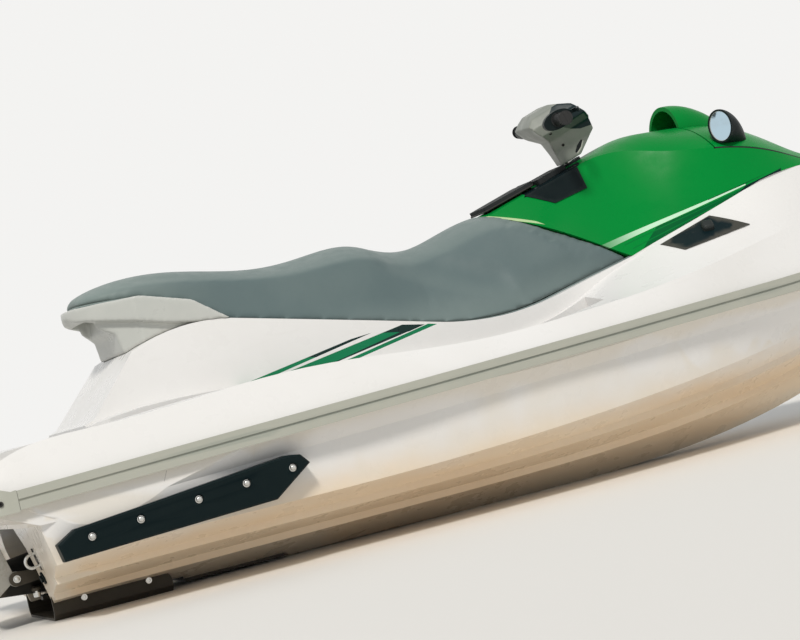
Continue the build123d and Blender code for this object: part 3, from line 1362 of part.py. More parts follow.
with BuildPart() as gauge:
    with BuildSketch(Plane.YZ.offset(at(GAUGE_STATION))):
        with BuildLine():
            ThreePointArc((-GAUGE_HALF, GAUGE_FOOT), (0, GAUGE_TOP), (GAUGE_HALF, GAUGE_FOOT))
            Line((GAUGE_HALF, GAUGE_FOOT), (-GAUGE_HALF, GAUGE_FOOT))
        make_face()
    extrude(amount=GAUGE_DEPTH)
    add(Pos(0, 0, SKIN_GAP) * hatch_block.part, mode=Mode.SUBTRACT)

with BuildPart() as throttle_lever:
    # A finger lever, from the starboard control out along the front of the grip
    with BuildSketch(STEER.offset(BAR_HEIGHT - LEVER_THICK / 2)):
        with BuildLine():
            Polyline(*LEVER_CORNERS)
            offset(amount=LEVER_HALF, side=Side.BOTH)
        make_face()
    extrude(amount=LEVER_THICK)
    add(bar_controls.part, mode=Mode.SUBTRACT)

os.makedirs("parts", exist_ok=True)
PARTS = {
    "hull": hull, "deck": deck, "rub_rail": rub_rail, "stern_bumpers": stern_bumpers, "seat": seat,
    "tail_handle": tail_handle, "console": console, "console_pad": console_pad,
    "console_panels": console_panels, "glovebox_lid": glovebox_lid, "lid_hinge": lid_hinge,
    "side_vents": side_vents, "hatch": hatch,
    "hatch_hinge": hatch_hinge, "hatch_seal": hatch_seal, "storage_bin": storage_bin, "mirrors": mirrors,
    "mirror_glasses": mirror_glasses, "gauge_visor": gauge_visor, "gauge": gauge, "deck_mats": deck_mats,
    "steering_column": steering_column, "column_collar": column_collar, "handlebar": handlebar,
    "steering_cover": steering_cover, "grips": grips, "bar_controls": bar_controls,
    "throttle_lever": throttle_lever, "sponsons": sponsons, "ride_plate": ride_plate,
    "intake_grate": intake_grate, "pump": pump, "impeller": impeller, "drive_shaft": drive_shaft,
    "engine": engine, "steering_nozzle": steering_nozzle, "steering_rod": steering_rod,
    "rod_gland": rod_gland, "reverse_gate": reverse_gate, "drain_plugs": drain_plugs,
    "stern_eyes": stern_eyes, "bow_eye": bow_eye,
}
for name, piece in PARTS.items():
    piece.part.label = name
    export_step(piece.part, f"parts/{name}.step")
    print(name, piece.part.is_valid, len(piece.part.solids()), piece.part.bounding_box())
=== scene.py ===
from math import radians, tau

import bpy
from mathutils import Matrix, Vector


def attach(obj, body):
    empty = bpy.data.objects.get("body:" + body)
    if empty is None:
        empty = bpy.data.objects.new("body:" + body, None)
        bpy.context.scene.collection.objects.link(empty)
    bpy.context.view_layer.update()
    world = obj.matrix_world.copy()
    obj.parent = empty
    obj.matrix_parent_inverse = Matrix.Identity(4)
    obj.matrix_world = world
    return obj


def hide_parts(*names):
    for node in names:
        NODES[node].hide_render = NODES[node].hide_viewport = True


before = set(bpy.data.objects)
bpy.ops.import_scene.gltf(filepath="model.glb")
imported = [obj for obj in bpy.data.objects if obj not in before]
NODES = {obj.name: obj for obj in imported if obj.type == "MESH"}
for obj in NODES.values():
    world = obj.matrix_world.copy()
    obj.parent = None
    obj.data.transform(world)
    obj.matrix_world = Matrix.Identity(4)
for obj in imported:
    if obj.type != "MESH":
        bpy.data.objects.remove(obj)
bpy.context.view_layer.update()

# A three-seat sit-down personal watercraft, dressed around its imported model.
# Metres, +X to the bow, +Y to port. A station is a distance forward of the stern.
# Places in a side view are (station, height), and what they show stands on both sides of the craft.

LENGTH = 3.22
STARBOARD = Vector((0, -1, 0))
PORT = Vector((0, 1, 0))

# View, as in the photograph
CAMERA_PLACE = (-2.3453, -5.2070, 0.4249)
CAMERA_HEADING = 22.21  # degrees from +Y towards +X
CAMERA_PITCH = 1.67
CAMERA_ROLL = -12.85
LENS = 85.5
SENSOR = 36

# Light
SUN_TRAVEL = (0.45, 0.78, -0.85)
SUN_POWER = 2.05
SUN_SPREAD = 9  # degrees
SUN_COLOUR = (1, 0.965, 0.91)
SKY_POWER = 0.52
SKY_COLOUR = (0.90, 0.95, 1)
FLOOR_SIZE = 120
FLOOR_COLOUR = (0.83, 0.80, 0.755)
FLOOR_ROUGH = 0.9
BACKDROP = (0.90, 0.895, 0.88)

# Colours
WHITE = (0.80, 0.785, 0.765)
WHITE_WORN = (0.66, 0.63, 0.585)
GREEN = (0.001, 0.228, 0.036)
GREEN_WORN = (0.002, 0.175, 0.034)
GREEN_DARK = (0.001, 0.105, 0.026)
STRIPE_GREEN = (0.001, 0.185, 0.072)
STRIPE_DARK = (0.002, 0.020, 0.018)
STRIPE_PALE = (0.55, 0.80, 0.58)
# Painted highlight on the console's lower rear edge
CONSOLE_EDGE_HIGHLIGHT = (0.52, 0.66, 0.36)
CONSOLE_DARK = (0.004, 0.010, 0.012)
# Partly a real stain, partly painted warm light bounced up from the sand
TAN_STAIN_AND_BOUNCE = (0.760, 0.545, 0.320)
PALE_STAIN_AND_BOUNCE = (0.84, 0.70, 0.51)
HULL_EDGE = (0.74, 0.68, 0.58)
CRACK = (0.28, 0.26, 0.22)
VINYL = (0.098, 0.140, 0.142)
# Painted sunlit and bounce-lit tone of the vinyl, also its paler tail and patches
VINYL_LIT_AND_PALE = (0.235, 0.285, 0.265)
GREY = (0.50, 0.51, 0.475)
GREY_WORN = (0.62, 0.61, 0.57)
COVER_GREY = (0.215, 0.232, 0.204)
COVER_WORN = (0.42, 0.41, 0.36)
# Partly black plastic, partly painted shade on the cover's sides
COVER_BOOT_AND_SHADE = (0.006, 0.018, 0.021)
# Painted highlight on the slot's lower lip
SLOT_LIP_HIGHLIGHT = (0.52, 0.52, 0.46)
# Painted shade standing in for the slot's opening
SLOT_PAINTED_SHADE = (0.003, 0.006, 0.008)
RAIL = (0.335, 0.350, 0.300)
RAIL_WORN = (0.48, 0.47, 0.40)
BLACK = (0.004, 0.009, 0.010)
BLACK_WORN = (0.014, 0.020, 0.020)
SPONSON = (0.002, 0.008, 0.010)
SPONSON_WORN = (0.010, 0.018, 0.019)
VENT = (0.004, 0.013, 0.016)
VENT_WORN = (0.12, 0.11, 0.09)
CAP = (0.020, 0.026, 0.026)
CAP_WORN = (0.05, 0.05, 0.045)
RUBBER = (0.006, 0.008, 0.009)
RUBBER_WORN = (0.034, 0.038, 0.038)
MAT = (0.022, 0.025, 0.025)
MAT_WORN = (0.12, 0.11, 0.09)
GRIP = (0.012, 0.013, 0.014)
GRIP_WORN = (0.05, 0.05, 0.048)
HARDWARE = (0.010, 0.010, 0.011)
HARDWARE_WORN = (0.06, 0.055, 0.05)
JET_PAINT = (0.014, 0.015, 0.015)
JET_WORN = (0.085, 0.07, 0.05)
STEEL = (0.62, 0.62, 0.60)
STEEL_WORN = (0.40, 0.37, 0.32)
BOLT_WORN = (0.36, 0.33, 0.28)
ALLOY = (0.36, 0.35, 0.32)
ALLOY_WORN = (0.22, 0.20, 0.16)
# A blue tint that paints the sky's reflection into the mirror
GLASS_PAINTED_SKY = (0.50, 0.66, 0.76)
GLASS_WORN = (0.42, 0.50, 0.54)
TRIM = (0.34, 0.36, 0.34)
TRIM_WORN = (0.5, 0.5, 0.46)
DIAL = (0.010, 0.011, 0.012)
DIAL_WORN = (0.03, 0.03, 0.03)
DIAL_MARK = (0.75, 0.75, 0.72)
DIAL_HUB = (0.10, 0.10, 0.10)


def at(station):
    """The X of a station."""
    return station - LENGTH / 2


# Camera, floor and light


def place_camera():
    camera = bpy.data.objects.new("camera", bpy.data.cameras.new("camera"))
    bpy.context.scene.collection.objects.link(camera)
    turn = Matrix.Rotation(-radians(CAMERA_HEADING), 4, "Z")
    tip = Matrix.Rotation(radians(90 + CAMERA_PITCH), 4, "X")
    roll = Matrix.Rotation(radians(CAMERA_ROLL), 4, "Z")
    camera.matrix_world = Matrix.Translation(CAMERA_PLACE) @ turn @ tip @ roll
    camera.data.sensor_width = SENSOR
    camera.data.lens = LENS
    camera.data.clip_start, camera.data.clip_end = 0.05, 200
    bpy.context.scene.camera = camera


def lay_floor():
    bpy.ops.object.select_all(action="DESELECT")
    bpy.ops.mesh.primitive_plane_add(size=FLOOR_SIZE)
    floor = bpy.context.object
    floor.name = "floor"
    material = bpy.data.materials.new("studio_floor")
    material.use_nodes = True
    shader = material.node_tree.nodes["Principled BSDF"]
    shader.inputs["Base Color"].default_value = (*FLOOR_COLOUR, 1)
    shader.inputs["Roughness"].default_value = FLOOR_ROUGH
    floor.data.materials.append(material)


def light_studio():
    """A soft sun from the starboard quarter, and an even sky.

    The camera, gloss and glass see a pale backdrop instead of the sky.
    """
    sun = bpy.data.lights.new("sun", "SUN")
    sun.energy = SUN_POWER
    sun.angle = radians(SUN_SPREAD)
    sun.color = SUN_COLOUR
    lamp = bpy.data.objects.new("sun", sun)
    lamp.rotation_euler = Vector(SUN_TRAVEL).to_track_quat("-Z", "Y").to_euler()
    bpy.context.scene.collection.objects.link(lamp)
    world = bpy.data.worlds.new("studio")
    bpy.context.scene.world = world
    world.use_nodes = True
    tree = world.node_tree
    fill = tree.nodes["Background"]
    fill.inputs["Color"].default_value = (*SKY_COLOUR, 1)
    fill.inputs["Strength"].default_value = SKY_POWER
    backdrop = tree.nodes.new("ShaderNodeBackground")
    backdrop.inputs["Color"].default_value = (*BACKDROP, 1)
    seen = tree.nodes.new("ShaderNodeLightPath")
    switch = tree.nodes.new("ShaderNodeMixShader")
    plain = seen.outputs["Is Camera Ray"]
    for kind in ("Is Glossy Ray", "Is Transmission Ray"):
        either = tree.nodes.new("ShaderNodeMath")
        either.operation = "MAXIMUM"
        tree.links.new(plain, either.inputs[0])
        tree.links.new(seen.outputs[kind], either.inputs[1])
        plain = either.outputs["Value"]
    tree.links.new(plain, switch.inputs["Fac"])
    tree.links.new(fill.outputs["Background"], switch.inputs[1])
    tree.links.new(backdrop.outputs["Background"], switch.inputs[2])
    tree.links.new(switch.outputs["Shader"], tree.nodes["World Output"].inputs["Surface"])
    bpy.context.scene.view_settings.view_transform = "Standard"


# Materials

COAT_ROUGH = 0.08


class Finish:
    """A node material in the making: its shader, and calls that add nodes and return their output."""

    def __init__(self, name, colour, rough, metal=0.0, coat=0.0, shine=0.5):
        self.material = bpy.data.materials.new(name)
        self.material.use_nodes = True
        self.tree = self.material.node_tree
        self.shader = self.tree.nodes["Principled BSDF"]
        self.shader.inputs["Base Color"].default_value = (*colour, 1)
        self.shader.inputs["Roughness"].default_value = rough
        self.shader.inputs["Metallic"].default_value = metal
        self.shader.inputs["Specular IOR Level"].default_value = shine
        self.shader.inputs["Coat Weight"].default_value = coat
        self.shader.inputs["Coat Roughness"].default_value = COAT_ROUGH
        self.colour = colour
        self.place = self.tree.nodes.new("ShaderNodeTexCoord").outputs["Object"]

    def link(self, value, socket):
        """Sets a socket to a number or colour, or links it to an output."""
        if isinstance(value, bpy.types.NodeSocket):
            self.tree.links.new(value, socket)
        elif isinstance(value, tuple) and len(value) == 3 and socket.type == "RGBA":
            socket.default_value = (*value, 1)
        else:
            socket.default_value = value

    def stretched(self, x, y, z):
        node = self.tree.nodes.new("ShaderNodeMapping")
        self.link(self.place, node.inputs["Vector"])
        node.inputs["Scale"].default_value = (x, y, z)
        return node.outputs["Vector"]

    def noise(self, scale, detail=3.0, rough=0.55, place=None):
        node = self.tree.nodes.new("ShaderNodeTexNoise")
        self.link(place or self.place, node.inputs["Vector"])
        node.inputs["Scale"].default_value = scale
        node.inputs["Detail"].default_value = detail
        node.inputs["Roughness"].default_value = rough
        return node.outputs["Fac"]

    def cells(self, scale):
        """Leather cells: 0 on the lines between them, and higher towards their middles."""
        node = self.tree.nodes.new("ShaderNodeTexVoronoi")
        node.feature = "DISTANCE_TO_EDGE"
        self.link(self.place, node.inputs["Vector"])
        node.inputs["Scale"].default_value = scale
        return node.outputs["Distance"]

    def waves(self, direction, pitch):
        """Even ridges across a direction: 1 on their crests and -1 between them."""
        return self.math("SINE", self.math("MULTIPLY", self.dot(direction), tau / pitch))

    def math(self, operation, first, second=0.0):
        node = self.tree.nodes.new("ShaderNodeMath")
        node.operation = operation
        for value, socket in zip((first, second), node.inputs):
            self.link(value, socket)
        return node.outputs["Value"]

    def dot(self, direction):
        """The place along a direction, from the origin."""
        node = self.tree.nodes.new("ShaderNodeVectorMath")
        node.operation = "DOT_PRODUCT"
        self.link(self.place, node.inputs[0])
        node.inputs[1].default_value = direction
        return node.outputs["Value"]

    def facing(self, direction):
        """How far the surface faces along a direction, from -1 to 1."""
        node = self.tree.nodes.new("ShaderNodeVectorMath")
        node.operation = "DOT_PRODUCT"
        self.link(self.tree.nodes.new("ShaderNodeTexCoord").outputs["Normal"], node.inputs[0])
        node.inputs[1].default_value = direction
        return node.outputs["Value"]

    def ramp(self, value, low, high, out_low=0.0, out_high=1.0):
        """A value's way from low to high, as a smooth step from out_low to out_high."""
        node = self.tree.nodes.new("ShaderNodeMapRange")
        node.interpolation_type = "SMOOTHSTEP"
        for number, socket in zip((value, low, high, out_low, out_high), node.inputs):
            self.link(number, socket)
        return node.outputs["Result"]

    def mix(self, share, first, second):
        node = self.tree.nodes.new("ShaderNodeMix")
        node.data_type = "RGBA"
        self.link(share, node.inputs["Factor"])
        self.link(first, node.inputs["A"])
        self.link(second, node.inputs["B"])
        return node.outputs["Result"]

    def tint(self, share, colour, strength=1.0):
        """Lays a colour over what is there, where share is 1."""
        if strength != 1.0:
            share = self.math("MULTIPLY", share, strength)
        self.colour = self.mix(share, self.colour, colour)
        self.link(self.colour, self.shader.inputs["Base Color"])

    def edge_wear(self, width):
        """Close to 1 on sharp edges and 0 elsewhere."""
        node = self.tree.nodes.new("ShaderNodeNewGeometry")
        return self.ramp(node.outputs["Pointiness"], 0.5 + width, 0.5 + 3 * width)

    def bump(self, height, depth, strength=1.0):
        """Adds a relief of the given depth in metres over what is there."""
        node = self.tree.nodes.new("ShaderNodeBump")
        node.inputs["Distance"].default_value = depth
        node.inputs["Strength"].default_value = strength
        self.link(height, node.inputs["Height"])
        if self.shader.inputs["Normal"].links:
            self.link(self.shader.inputs["Normal"].links[0].from_socket, node.inputs["Normal"])
        self.link(node.outputs["Normal"], self.shader.inputs["Normal"])

    def roughen(self, scale, low, high):
        """Roughness that wanders between two values."""
        self.link(self.ramp(self.noise(scale, 5), 0.3, 0.75, low, high), self.shader.inputs["Roughness"])

    def paint(self, corners, least_y=0.0, most_y=9.0):
        """1 inside a convex outline in the side view, between two distances from the middle plane."""
        middle = Vector((sum(x for x, z in corners), sum(z for x, z in corners))) / len(corners)
        across = self.math("ABSOLUTE", self.dot((0, 1, 0)))
        inside = self.math("GREATER_THAN", across, least_y)
        inside = self.math("MULTIPLY", inside, self.math("LESS_THAN", across, most_y))
        for first, second in zip(corners, (*corners[1:], corners[0])):
            along = Vector(second) - Vector(first)
            normal = Vector((-along.y, along.x)).normalized()
            if normal.dot(middle - Vector(first)) < 0:
                normal.negate()
            over = self.dot((normal.x, 0, normal.y))
            start = normal.dot(Vector((at(first[0]), first[1])))
            inside = self.math("MULTIPLY", inside, self.math("GREATER_THAN", over, start))
        return inside


def gelcoat(name, colour, worn, coat=0.05, shine=0.22):
    """Sprayed gelcoat: gloss over an even colour, clouded a little, with fine scuffs along the craft."""
    finish = Finish(name, colour, 0.3, coat=coat, shine=shine)
    finish.tint(finish.ramp(finish.noise(2.6, 5), 0.42, 0.75), worn, 0.22)
    scuffs = finish.ramp(finish.noise(9, 8, 0.7, finish.stretched(0.5, 1, 2.5)), 0.58, 0.75)
    finish.tint(scuffs, worn, 0.16)
    finish.roughen(14, 0.24, 0.42)
    finish.bump(finish.noise(320, 2), 0.0001)
    return finish


# Stripes, each over the ones above it. Columns: corners in the side view, colour
PEDESTAL_STRIPES = (
    (((0.708, 0.485), (0.780, 0.485), (1.183, 0.562), (1.120, 0.557)), STRIPE_GREEN),
    (((0.985, 0.533), (1.010, 0.529), (1.183, 0.562), (1.120, 0.557)), STRIPE_DARK),
    (((0.797, 0.485), (0.959, 0.485), (1.342, 0.553), (1.276, 0.566)), STRIPE_GREEN),
    (((0.985, 0.490), (0.995, 0.4915), (1.342, 0.553), (1.318, 0.558)), STRIPE_DARK),
    (((1.215, 0.555), (1.290, 0.543), (1.342, 0.553), (1.276, 0.566)), STRIPE_DARK),
    (((1.001, 0.485), (1.045, 0.485), (1.378, 0.547), (1.352, 0.553)), STRIPE_GREEN),
)
HOOD_STRIPES = (
    (((2.050, 0.600), (2.160, 0.692), (2.490, 0.757), (2.300, 0.600)), GREEN_DARK),
    (((1.960, 0.6510), (1.960, 0.6700), (2.470, 0.7625), (2.470, 0.7590)), STRIPE_PALE),
    (((2.335, 0.7370), (2.335, 0.7390), (2.560, 0.7830), (2.465, 0.7625)), STRIPE_DARK),
    (((2.300, 0.660), (2.468, 0.7570), (2.620, 0.790), (2.560, 0.700)), STRIPE_DARK),
    (((2.040, 0.6555), (2.040, 0.6590), (2.430, 0.7430), (2.430, 0.7415)), GREEN_WORN),
    (((2.060, 0.6400), (2.060, 0.6430), (2.360, 0.7180), (2.360, 0.7155)), GREEN_WORN),
)
# Distances from the middle plane between which they show
PEDESTAL_REACH = (0.15, 0.345)
HOOD_REACH = (0.12, 0.40)
PALE_FADE = (1.93, 2.16)  # the pale stripe comes out of the green between these stations
# Between the bar pad and the side panels the console is black
CONSOLE_BLACK = ((1.835, 0.866), (2.031, 0.930), (2.060, 0.948), (1.850, 0.886))
CONSOLE_REACH = (0.05, 0.20)
# A painted highlight along the console's edge by the seat, and where it shows
SEAT_EDGE_HIGHLIGHT = ((1.690, 0.846), (1.722, 0.816), (1.830, 0.768), (1.812, 0.785))
SEAT_HIGHLIGHT_REACH = (0.05, 0.30)
STAIN_AND_BOUNCE_SLOPE = 0.022  # how much higher the stain and its painted bounce light stand a metre further forward
STAIN_AND_BOUNCE_RAGGED = 0.10  # how far its edge wanders
STAIN_AND_BOUNCE_TOP, STAIN_AND_BOUNCE_FULL = 0.33, 0.20
HULL_CRACK = ((0.4655, 0.326), (0.4670, 0.326), (0.4545, 0.300), (0.4535, 0.300))


def deck_finish():
    finish = gelcoat("deck_gelcoat", WHITE, WHITE_WORN)
    for corners, colour in PEDESTAL_STRIPES:
        finish.tint(finish.paint(corners, *PEDESTAL_REACH), colour)
    return finish.material


def hull_finish():
    """White above, and warm tan below the sponsons: partly a stain from sand and the waterline, partly
    painted warm light bounced up from the sand.
    """
    finish = gelcoat("hull_gelcoat", WHITE, WHITE_WORN)
    height = finish.dot((-STAIN_AND_BOUNCE_SLOPE, 0, 1))
    ragged = finish.math("ADD", height, finish.math("MULTIPLY", finish.noise(4, 6), STAIN_AND_BOUNCE_RAGGED))
    band = finish.ramp(ragged, STAIN_AND_BOUNCE_TOP, STAIN_AND_BOUNCE_FULL)
    streaks = finish.ramp(finish.noise(3, 4, 0.5, finish.stretched(0.3, 1, 3)), 0.25, 0.8)
    tan = finish.mix(streaks, TAN_STAIN_AND_BOUNCE, PALE_STAIN_AND_BOUNCE)
    # Painted sand bounce light together with the real stain
    finish.tint(band, tan, 0.80)
    finish.tint(finish.edge_wear(0.012), HULL_EDGE, 0.55)
    finish.tint(finish.paint(HULL_CRACK), CRACK, 0.8)
    return finish.material


def green_finish():
    finish = gelcoat("green_gelcoat", GREEN, GREEN_WORN, coat=0.0, shine=0.05)
    for corners, colour in HOOD_STRIPES:
        share = finish.paint(corners, *HOOD_REACH)
        if colour == STRIPE_PALE:
            fade = finish.ramp(finish.dot((1, 0, 0)), at(PALE_FADE[0]), at(PALE_FADE[1]), 0.15, 1)
            share = finish.math("MULTIPLY", share, fade)
        finish.tint(share, colour)
    # Painted highlight along the console's lower rear edge
    finish.tint(finish.paint(SEAT_EDGE_HIGHLIGHT, *SEAT_HIGHLIGHT_REACH), CONSOLE_EDGE_HIGHLIGHT, 0.9)
    finish.tint(finish.paint(CONSOLE_BLACK, *CONSOLE_REACH), CONSOLE_DARK)
    return finish.material


def moulded(name, colour, worn, rough, grain=900, depth=0.00008, shine=0.14, fade=0.35):
    """Moulded plastic or rubber: a fine grain, faded and scuffed unevenly, paler on its edges."""
    finish = Finish(name, colour, rough, shine=shine)
    finish.tint(finish.ramp(finish.noise(6, 6, 0.65), 0.38, 0.8), worn, fade)
    finish.tint(finish.edge_wear(0.02), worn, 0.5)
    scratches = finish.ramp(finish.noise(30, 8, 0.75, finish.stretched(0.25, 1, 1.6)), 0.60, 0.72)
    finish.tint(scratches, worn, 0.25)
    finish.roughen(18, rough - 0.08, rough + 0.12)
    finish.bump(finish.noise(grain, 2), depth)
    return finish


def metal(name, colour, worn, rough, depth=0.0001):
    finish = Finish(name, colour, rough, metal=1.0)
    finish.tint(finish.ramp(finish.noise(45, 6, 0.7), 0.5, 0.72), worn, 0.5)
    finish.roughen(60, rough, rough + 0.2)
    finish.bump(finish.noise(260, 3), depth)
    return finish


LOW_BOUNCE_LIGHT = (0.66, 0.56)  # heights from none to full painted bounce light, low on the seat's sides
PALER_TAIL = (0.85, 0.42)  # and stations, towards its tail, over which it grows paler


def vinyl_finish():
    """Marine seat vinyl: a fine leather grain, with painted light where it faces up, painted bounce light
    low on the sides, and paler aft and in patches.
    """
    finish = Finish("seat_vinyl", VINYL, 0.5, shine=0.35)
    height = finish.dot((0, 0, 1))
    aft = finish.ramp(finish.dot((1, 0, 0)), at(PALER_TAIL[0]), at(PALER_TAIL[1]))
    # Painted light: the top is lighter where it faces up
    finish.tint(finish.ramp(finish.facing((0, 0, 1)), 0.45, 0.95), VINYL_LIT_AND_PALE, 0.50)
    # Painted bounce light: lighter low on the sides
    finish.tint(finish.ramp(height, *LOW_BOUNCE_LIGHT), VINYL_LIT_AND_PALE, 0.30)
    finish.tint(aft, VINYL_LIT_AND_PALE, 0.65)
    finish.tint(finish.ramp(finish.noise(3.5, 6, 0.6), 0.35, 0.8), VINYL_LIT_AND_PALE, 0.16)
    finish.roughen(30, 0.44, 0.60)
    finish.bump(finish.cells(520), 0.00025, 0.6)
    finish.bump(finish.noise(90, 3), 0.0004, 0.5)
    return finish.material


def mirror_finish():
    # The blue of the glass is a painted reflection of sky
    finish = Finish("mirror_glass", GLASS_PAINTED_SKY, 0.04, metal=1.0)
    finish.link(finish.ramp(finish.noise(30, 5), 0.45, 0.8, 0.03, 0.12), finish.shader.inputs["Roughness"])
    finish.tint(finish.ramp(finish.noise(14, 5), 0.5, 0.8), GLASS_WORN, 0.5)
    return finish.material


MAT_PITCH = 0.012
MAT_RIB = 0.0022
GRIP_PITCH = 0.0045
GRIP_RING = 0.0009


def mat_finish():
    """Traction mat: rows of small raised ribs on black rubber, greyed by sand."""
    finish = moulded("mat_rubber", MAT, MAT_WORN, 0.7, 400, 0.0002, fade=0.5)
    ribs = finish.math(
        "MULTIPLY", finish.waves((1, 0.55, 0), MAT_PITCH), finish.waves((1, -0.55, 0), MAT_PITCH)
    )
    finish.bump(finish.ramp(ribs, -0.2, 0.5), MAT_RIB)
    return finish.material


def grip_finish():
    """Grip rubber: fine rings round the bar."""
    finish = moulded("grip_rubber", GRIP, GRIP_WORN, 0.6, 500, 0.0001)
    finish.bump(finish.waves((0, 1, 0), GRIP_PITCH), GRIP_RING)
    return finish.material


def dress_nodes():
    """Gives every carried-over node its finish."""
    black = moulded("black_plastic", BLACK, BLACK_WORN, 0.42, shine=0.09).material
    sponson = moulded("sponson_plastic", SPONSON, SPONSON_WORN, 0.45, 700, 0.0001, 0.07).material
    vent = moulded("vent_plastic", VENT, VENT_WORN, 0.45, shine=0.08, fade=0.06).material
    rubber = moulded("black_rubber", RUBBER, RUBBER_WORN, 0.62, 500, 0.0002).material
    rail = moulded("bumper_rubber", RAIL, RAIL_WORN, 0.55, 300, 0.00015, shine=0.4).material
    steel = metal("stainless", STEEL, STEEL_WORN, 0.16, depth=0.00003).material
    alloy = metal("cast_alloy", ALLOY, ALLOY_WORN, 0.42).material
    painted = moulded("jet_paint", JET_PAINT, JET_WORN, 0.45, 260, 0.0002).material
    finishes = {
        deck_finish(): ["deck"],
        hull_finish(): ["hull"],
        green_finish(): ["console", "hatch", "gauge_visor"],
        rail: ["rub_rail", "stern_bumpers"],
        sponson: ["sponsons"],
        vent: ["side_vents"],
        black: ["console_panels", "lid_hinge", "storage_bin", "mirrors", "gauge", "column_collar",
                "bar_controls", "throttle_lever", "drain_plugs"],
        rubber: ["console_pad", "glovebox_lid", "hatch_seal", "rod_gland"],
        mat_finish(): ["deck_mats"],
        grip_finish(): ["grips"],
        steel: ["hatch_hinge", "steering_column", "handlebar", "impeller", "drive_shaft", "steering_rod",
                "stern_eyes", "bow_eye"],
        alloy: ["engine", "reverse_gate"],
        painted: ["ride_plate", "intake_grate", "pump", "steering_nozzle"],
        mirror_finish(): ["mirror_glasses"],
    }
    for material, names in finishes.items():
        for name in names:
            mesh = NODES[name].data
            mesh.materials.clear()
            mesh.materials.append(material)


# Tools for new pieces


def deselect():
    if bpy.context.mode != "OBJECT":
        bpy.ops.object.mode_set(mode="OBJECT")
    bpy.ops.object.select_all(action="DESELECT")


def pick(piece):
    deselect()
    piece.select_set(True)
    bpy.context.view_layer.objects.active = piece


def copy_of(node):
    """A new piece with a merged copy of a node's mesh."""
    piece = bpy.data.objects.new(node, NODES[node].data.copy())
    bpy.context.scene.collection.objects.link(piece)
    piece.data.materials.clear()
    pick(piece)
    bpy.ops.object.mode_set(mode="EDIT")
    bpy.ops.mesh.select_all(action="SELECT")
    bpy.ops.mesh.remove_doubles(threshold=0.00002)
    bpy.ops.mesh.normals_make_consistent(inside=False)
    bpy.ops.object.mode_set(mode="OBJECT")
    return piece


def apply_modifier(piece, kind, **settings):
    modifier = piece.modifiers.new(kind.lower(), kind)
    for key, value in settings.items():
        setattr(modifier, key, value)
    bpy.ops.object.modifier_apply(modifier=modifier.name)


STRAIGHT = 0.9  # a face with more of its direction along a line than this looks along it


def select_top(piece):
    """Starts edit mode with the faces that look up selected."""
    bpy.ops.object.mode_set(mode="EDIT")
    bpy.ops.mesh.select_all(action="DESELECT")
    bpy.ops.object.mode_set(mode="OBJECT")
    for face in piece.data.polygons:
        face.select = face.normal.z > STRAIGHT
    bpy.ops.object.mode_set(mode="EDIT")
    bpy.ops.mesh.select_mode(type="FACE")


def smooth_shade(degrees=40):
    bpy.ops.object.shade_smooth_by_angle(angle=radians(degrees))


def finish_piece(piece, name, material, body):
    """Names and dresses a new piece, and puts it on its body."""
    piece.name = piece.data.name = name
    piece.data.materials.clear()
    piece.data.materials.append(material)
    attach(piece, body)


CLEAR = 0.9  # further out than any side of the craft
NEAR = 0.1  # how far off a surface a line towards it starts


def touch(node, start, direction):
    """Where a line from a point first meets a node, and the surface's direction there."""
    met, place, normal, _ = NODES[node].ray_cast(Vector(start), Vector(direction).normalized())
    if not met:
        raise ValueError(f"{node} isn't met from {tuple(start)}")
    return place, normal


def side_places(node, table):
    """Places of (station, height) pairs on both sides of a node, each with the surface's direction."""
    places = []
    for station, height in table:
        for side in (STARBOARD, PORT):
            places.append(touch(node, Vector((at(station), 0, height)) + side * CLEAR, -side))
    return places


def copies_at(model, places):
    """One piece from copies of a model, each stood at a place with its axis along a direction."""
    copies = []
    for place, direction in places:
        copy = model.copy()
        copy.data = model.data.copy()
        bpy.context.scene.collection.objects.link(copy)
        turn = Vector(direction).to_track_quat("Z", "Y").to_matrix().to_4x4()
        copy.matrix_world = Matrix.Translation(place) @ turn
        copies.append(copy)
    bpy.data.objects.remove(model)
    pick(copies[0])
    for copy in copies:
        copy.select_set(True)
    bpy.ops.object.join()
    bpy.ops.object.transform_apply(location=True, rotation=True, scale=True)
    return bpy.context.object


# Fasteners


# Heads, ring after ring from the rim of the top, in shares of the radius: how far inwards and how far up
DOME = ((0.12, 0.08), (0.13, 0), (0.02, 0.30), (0.10, 0.16), (0.16, 0.11), (0.20, 0.05))
SOCKET = ((0.10, 0.10), (0.36, 0), (0.02, -0.5))
HEX_TOP = ((0.14, 0.08),)


def turn_up(sides, radius, depth, rings=(), up=0):
    """A new cylinder about a height on the Z axis, with rings in metres built inwards from its top's rim."""
    deselect()
    bpy.ops.mesh.primitive_cylinder_add(vertices=sides, radius=radius, depth=depth, location=(0, 0, up))
    piece = bpy.context.object
    select_top(piece)
    for inwards, rise in rings:
        bpy.ops.mesh.inset(thickness=inwards)
        bpy.ops.transform.translate(value=(0, 0, rise))
    bpy.ops.object.mode_set(mode="OBJECT")
    return piece


def scaled(rings, radius):
    """Rings in metres, from shares of a radius."""
    return [(radius * inwards, radius * rise) for inwards, rise in rings]


def model_domed_bolt(radius):
    """A dished washer with a domed head on it, about the origin, its axis up."""
    bolt = turn_up(28, radius, radius * 0.3, scaled(DOME, radius))
    smooth_shade()
    return bolt


def model_socket_screw(radius):
    """A cap screw with a round socket, about the origin, its axis up."""
    screw = turn_up(24, radius, radius, scaled(SOCKET, radius))
    smooth_shade()
    return screw


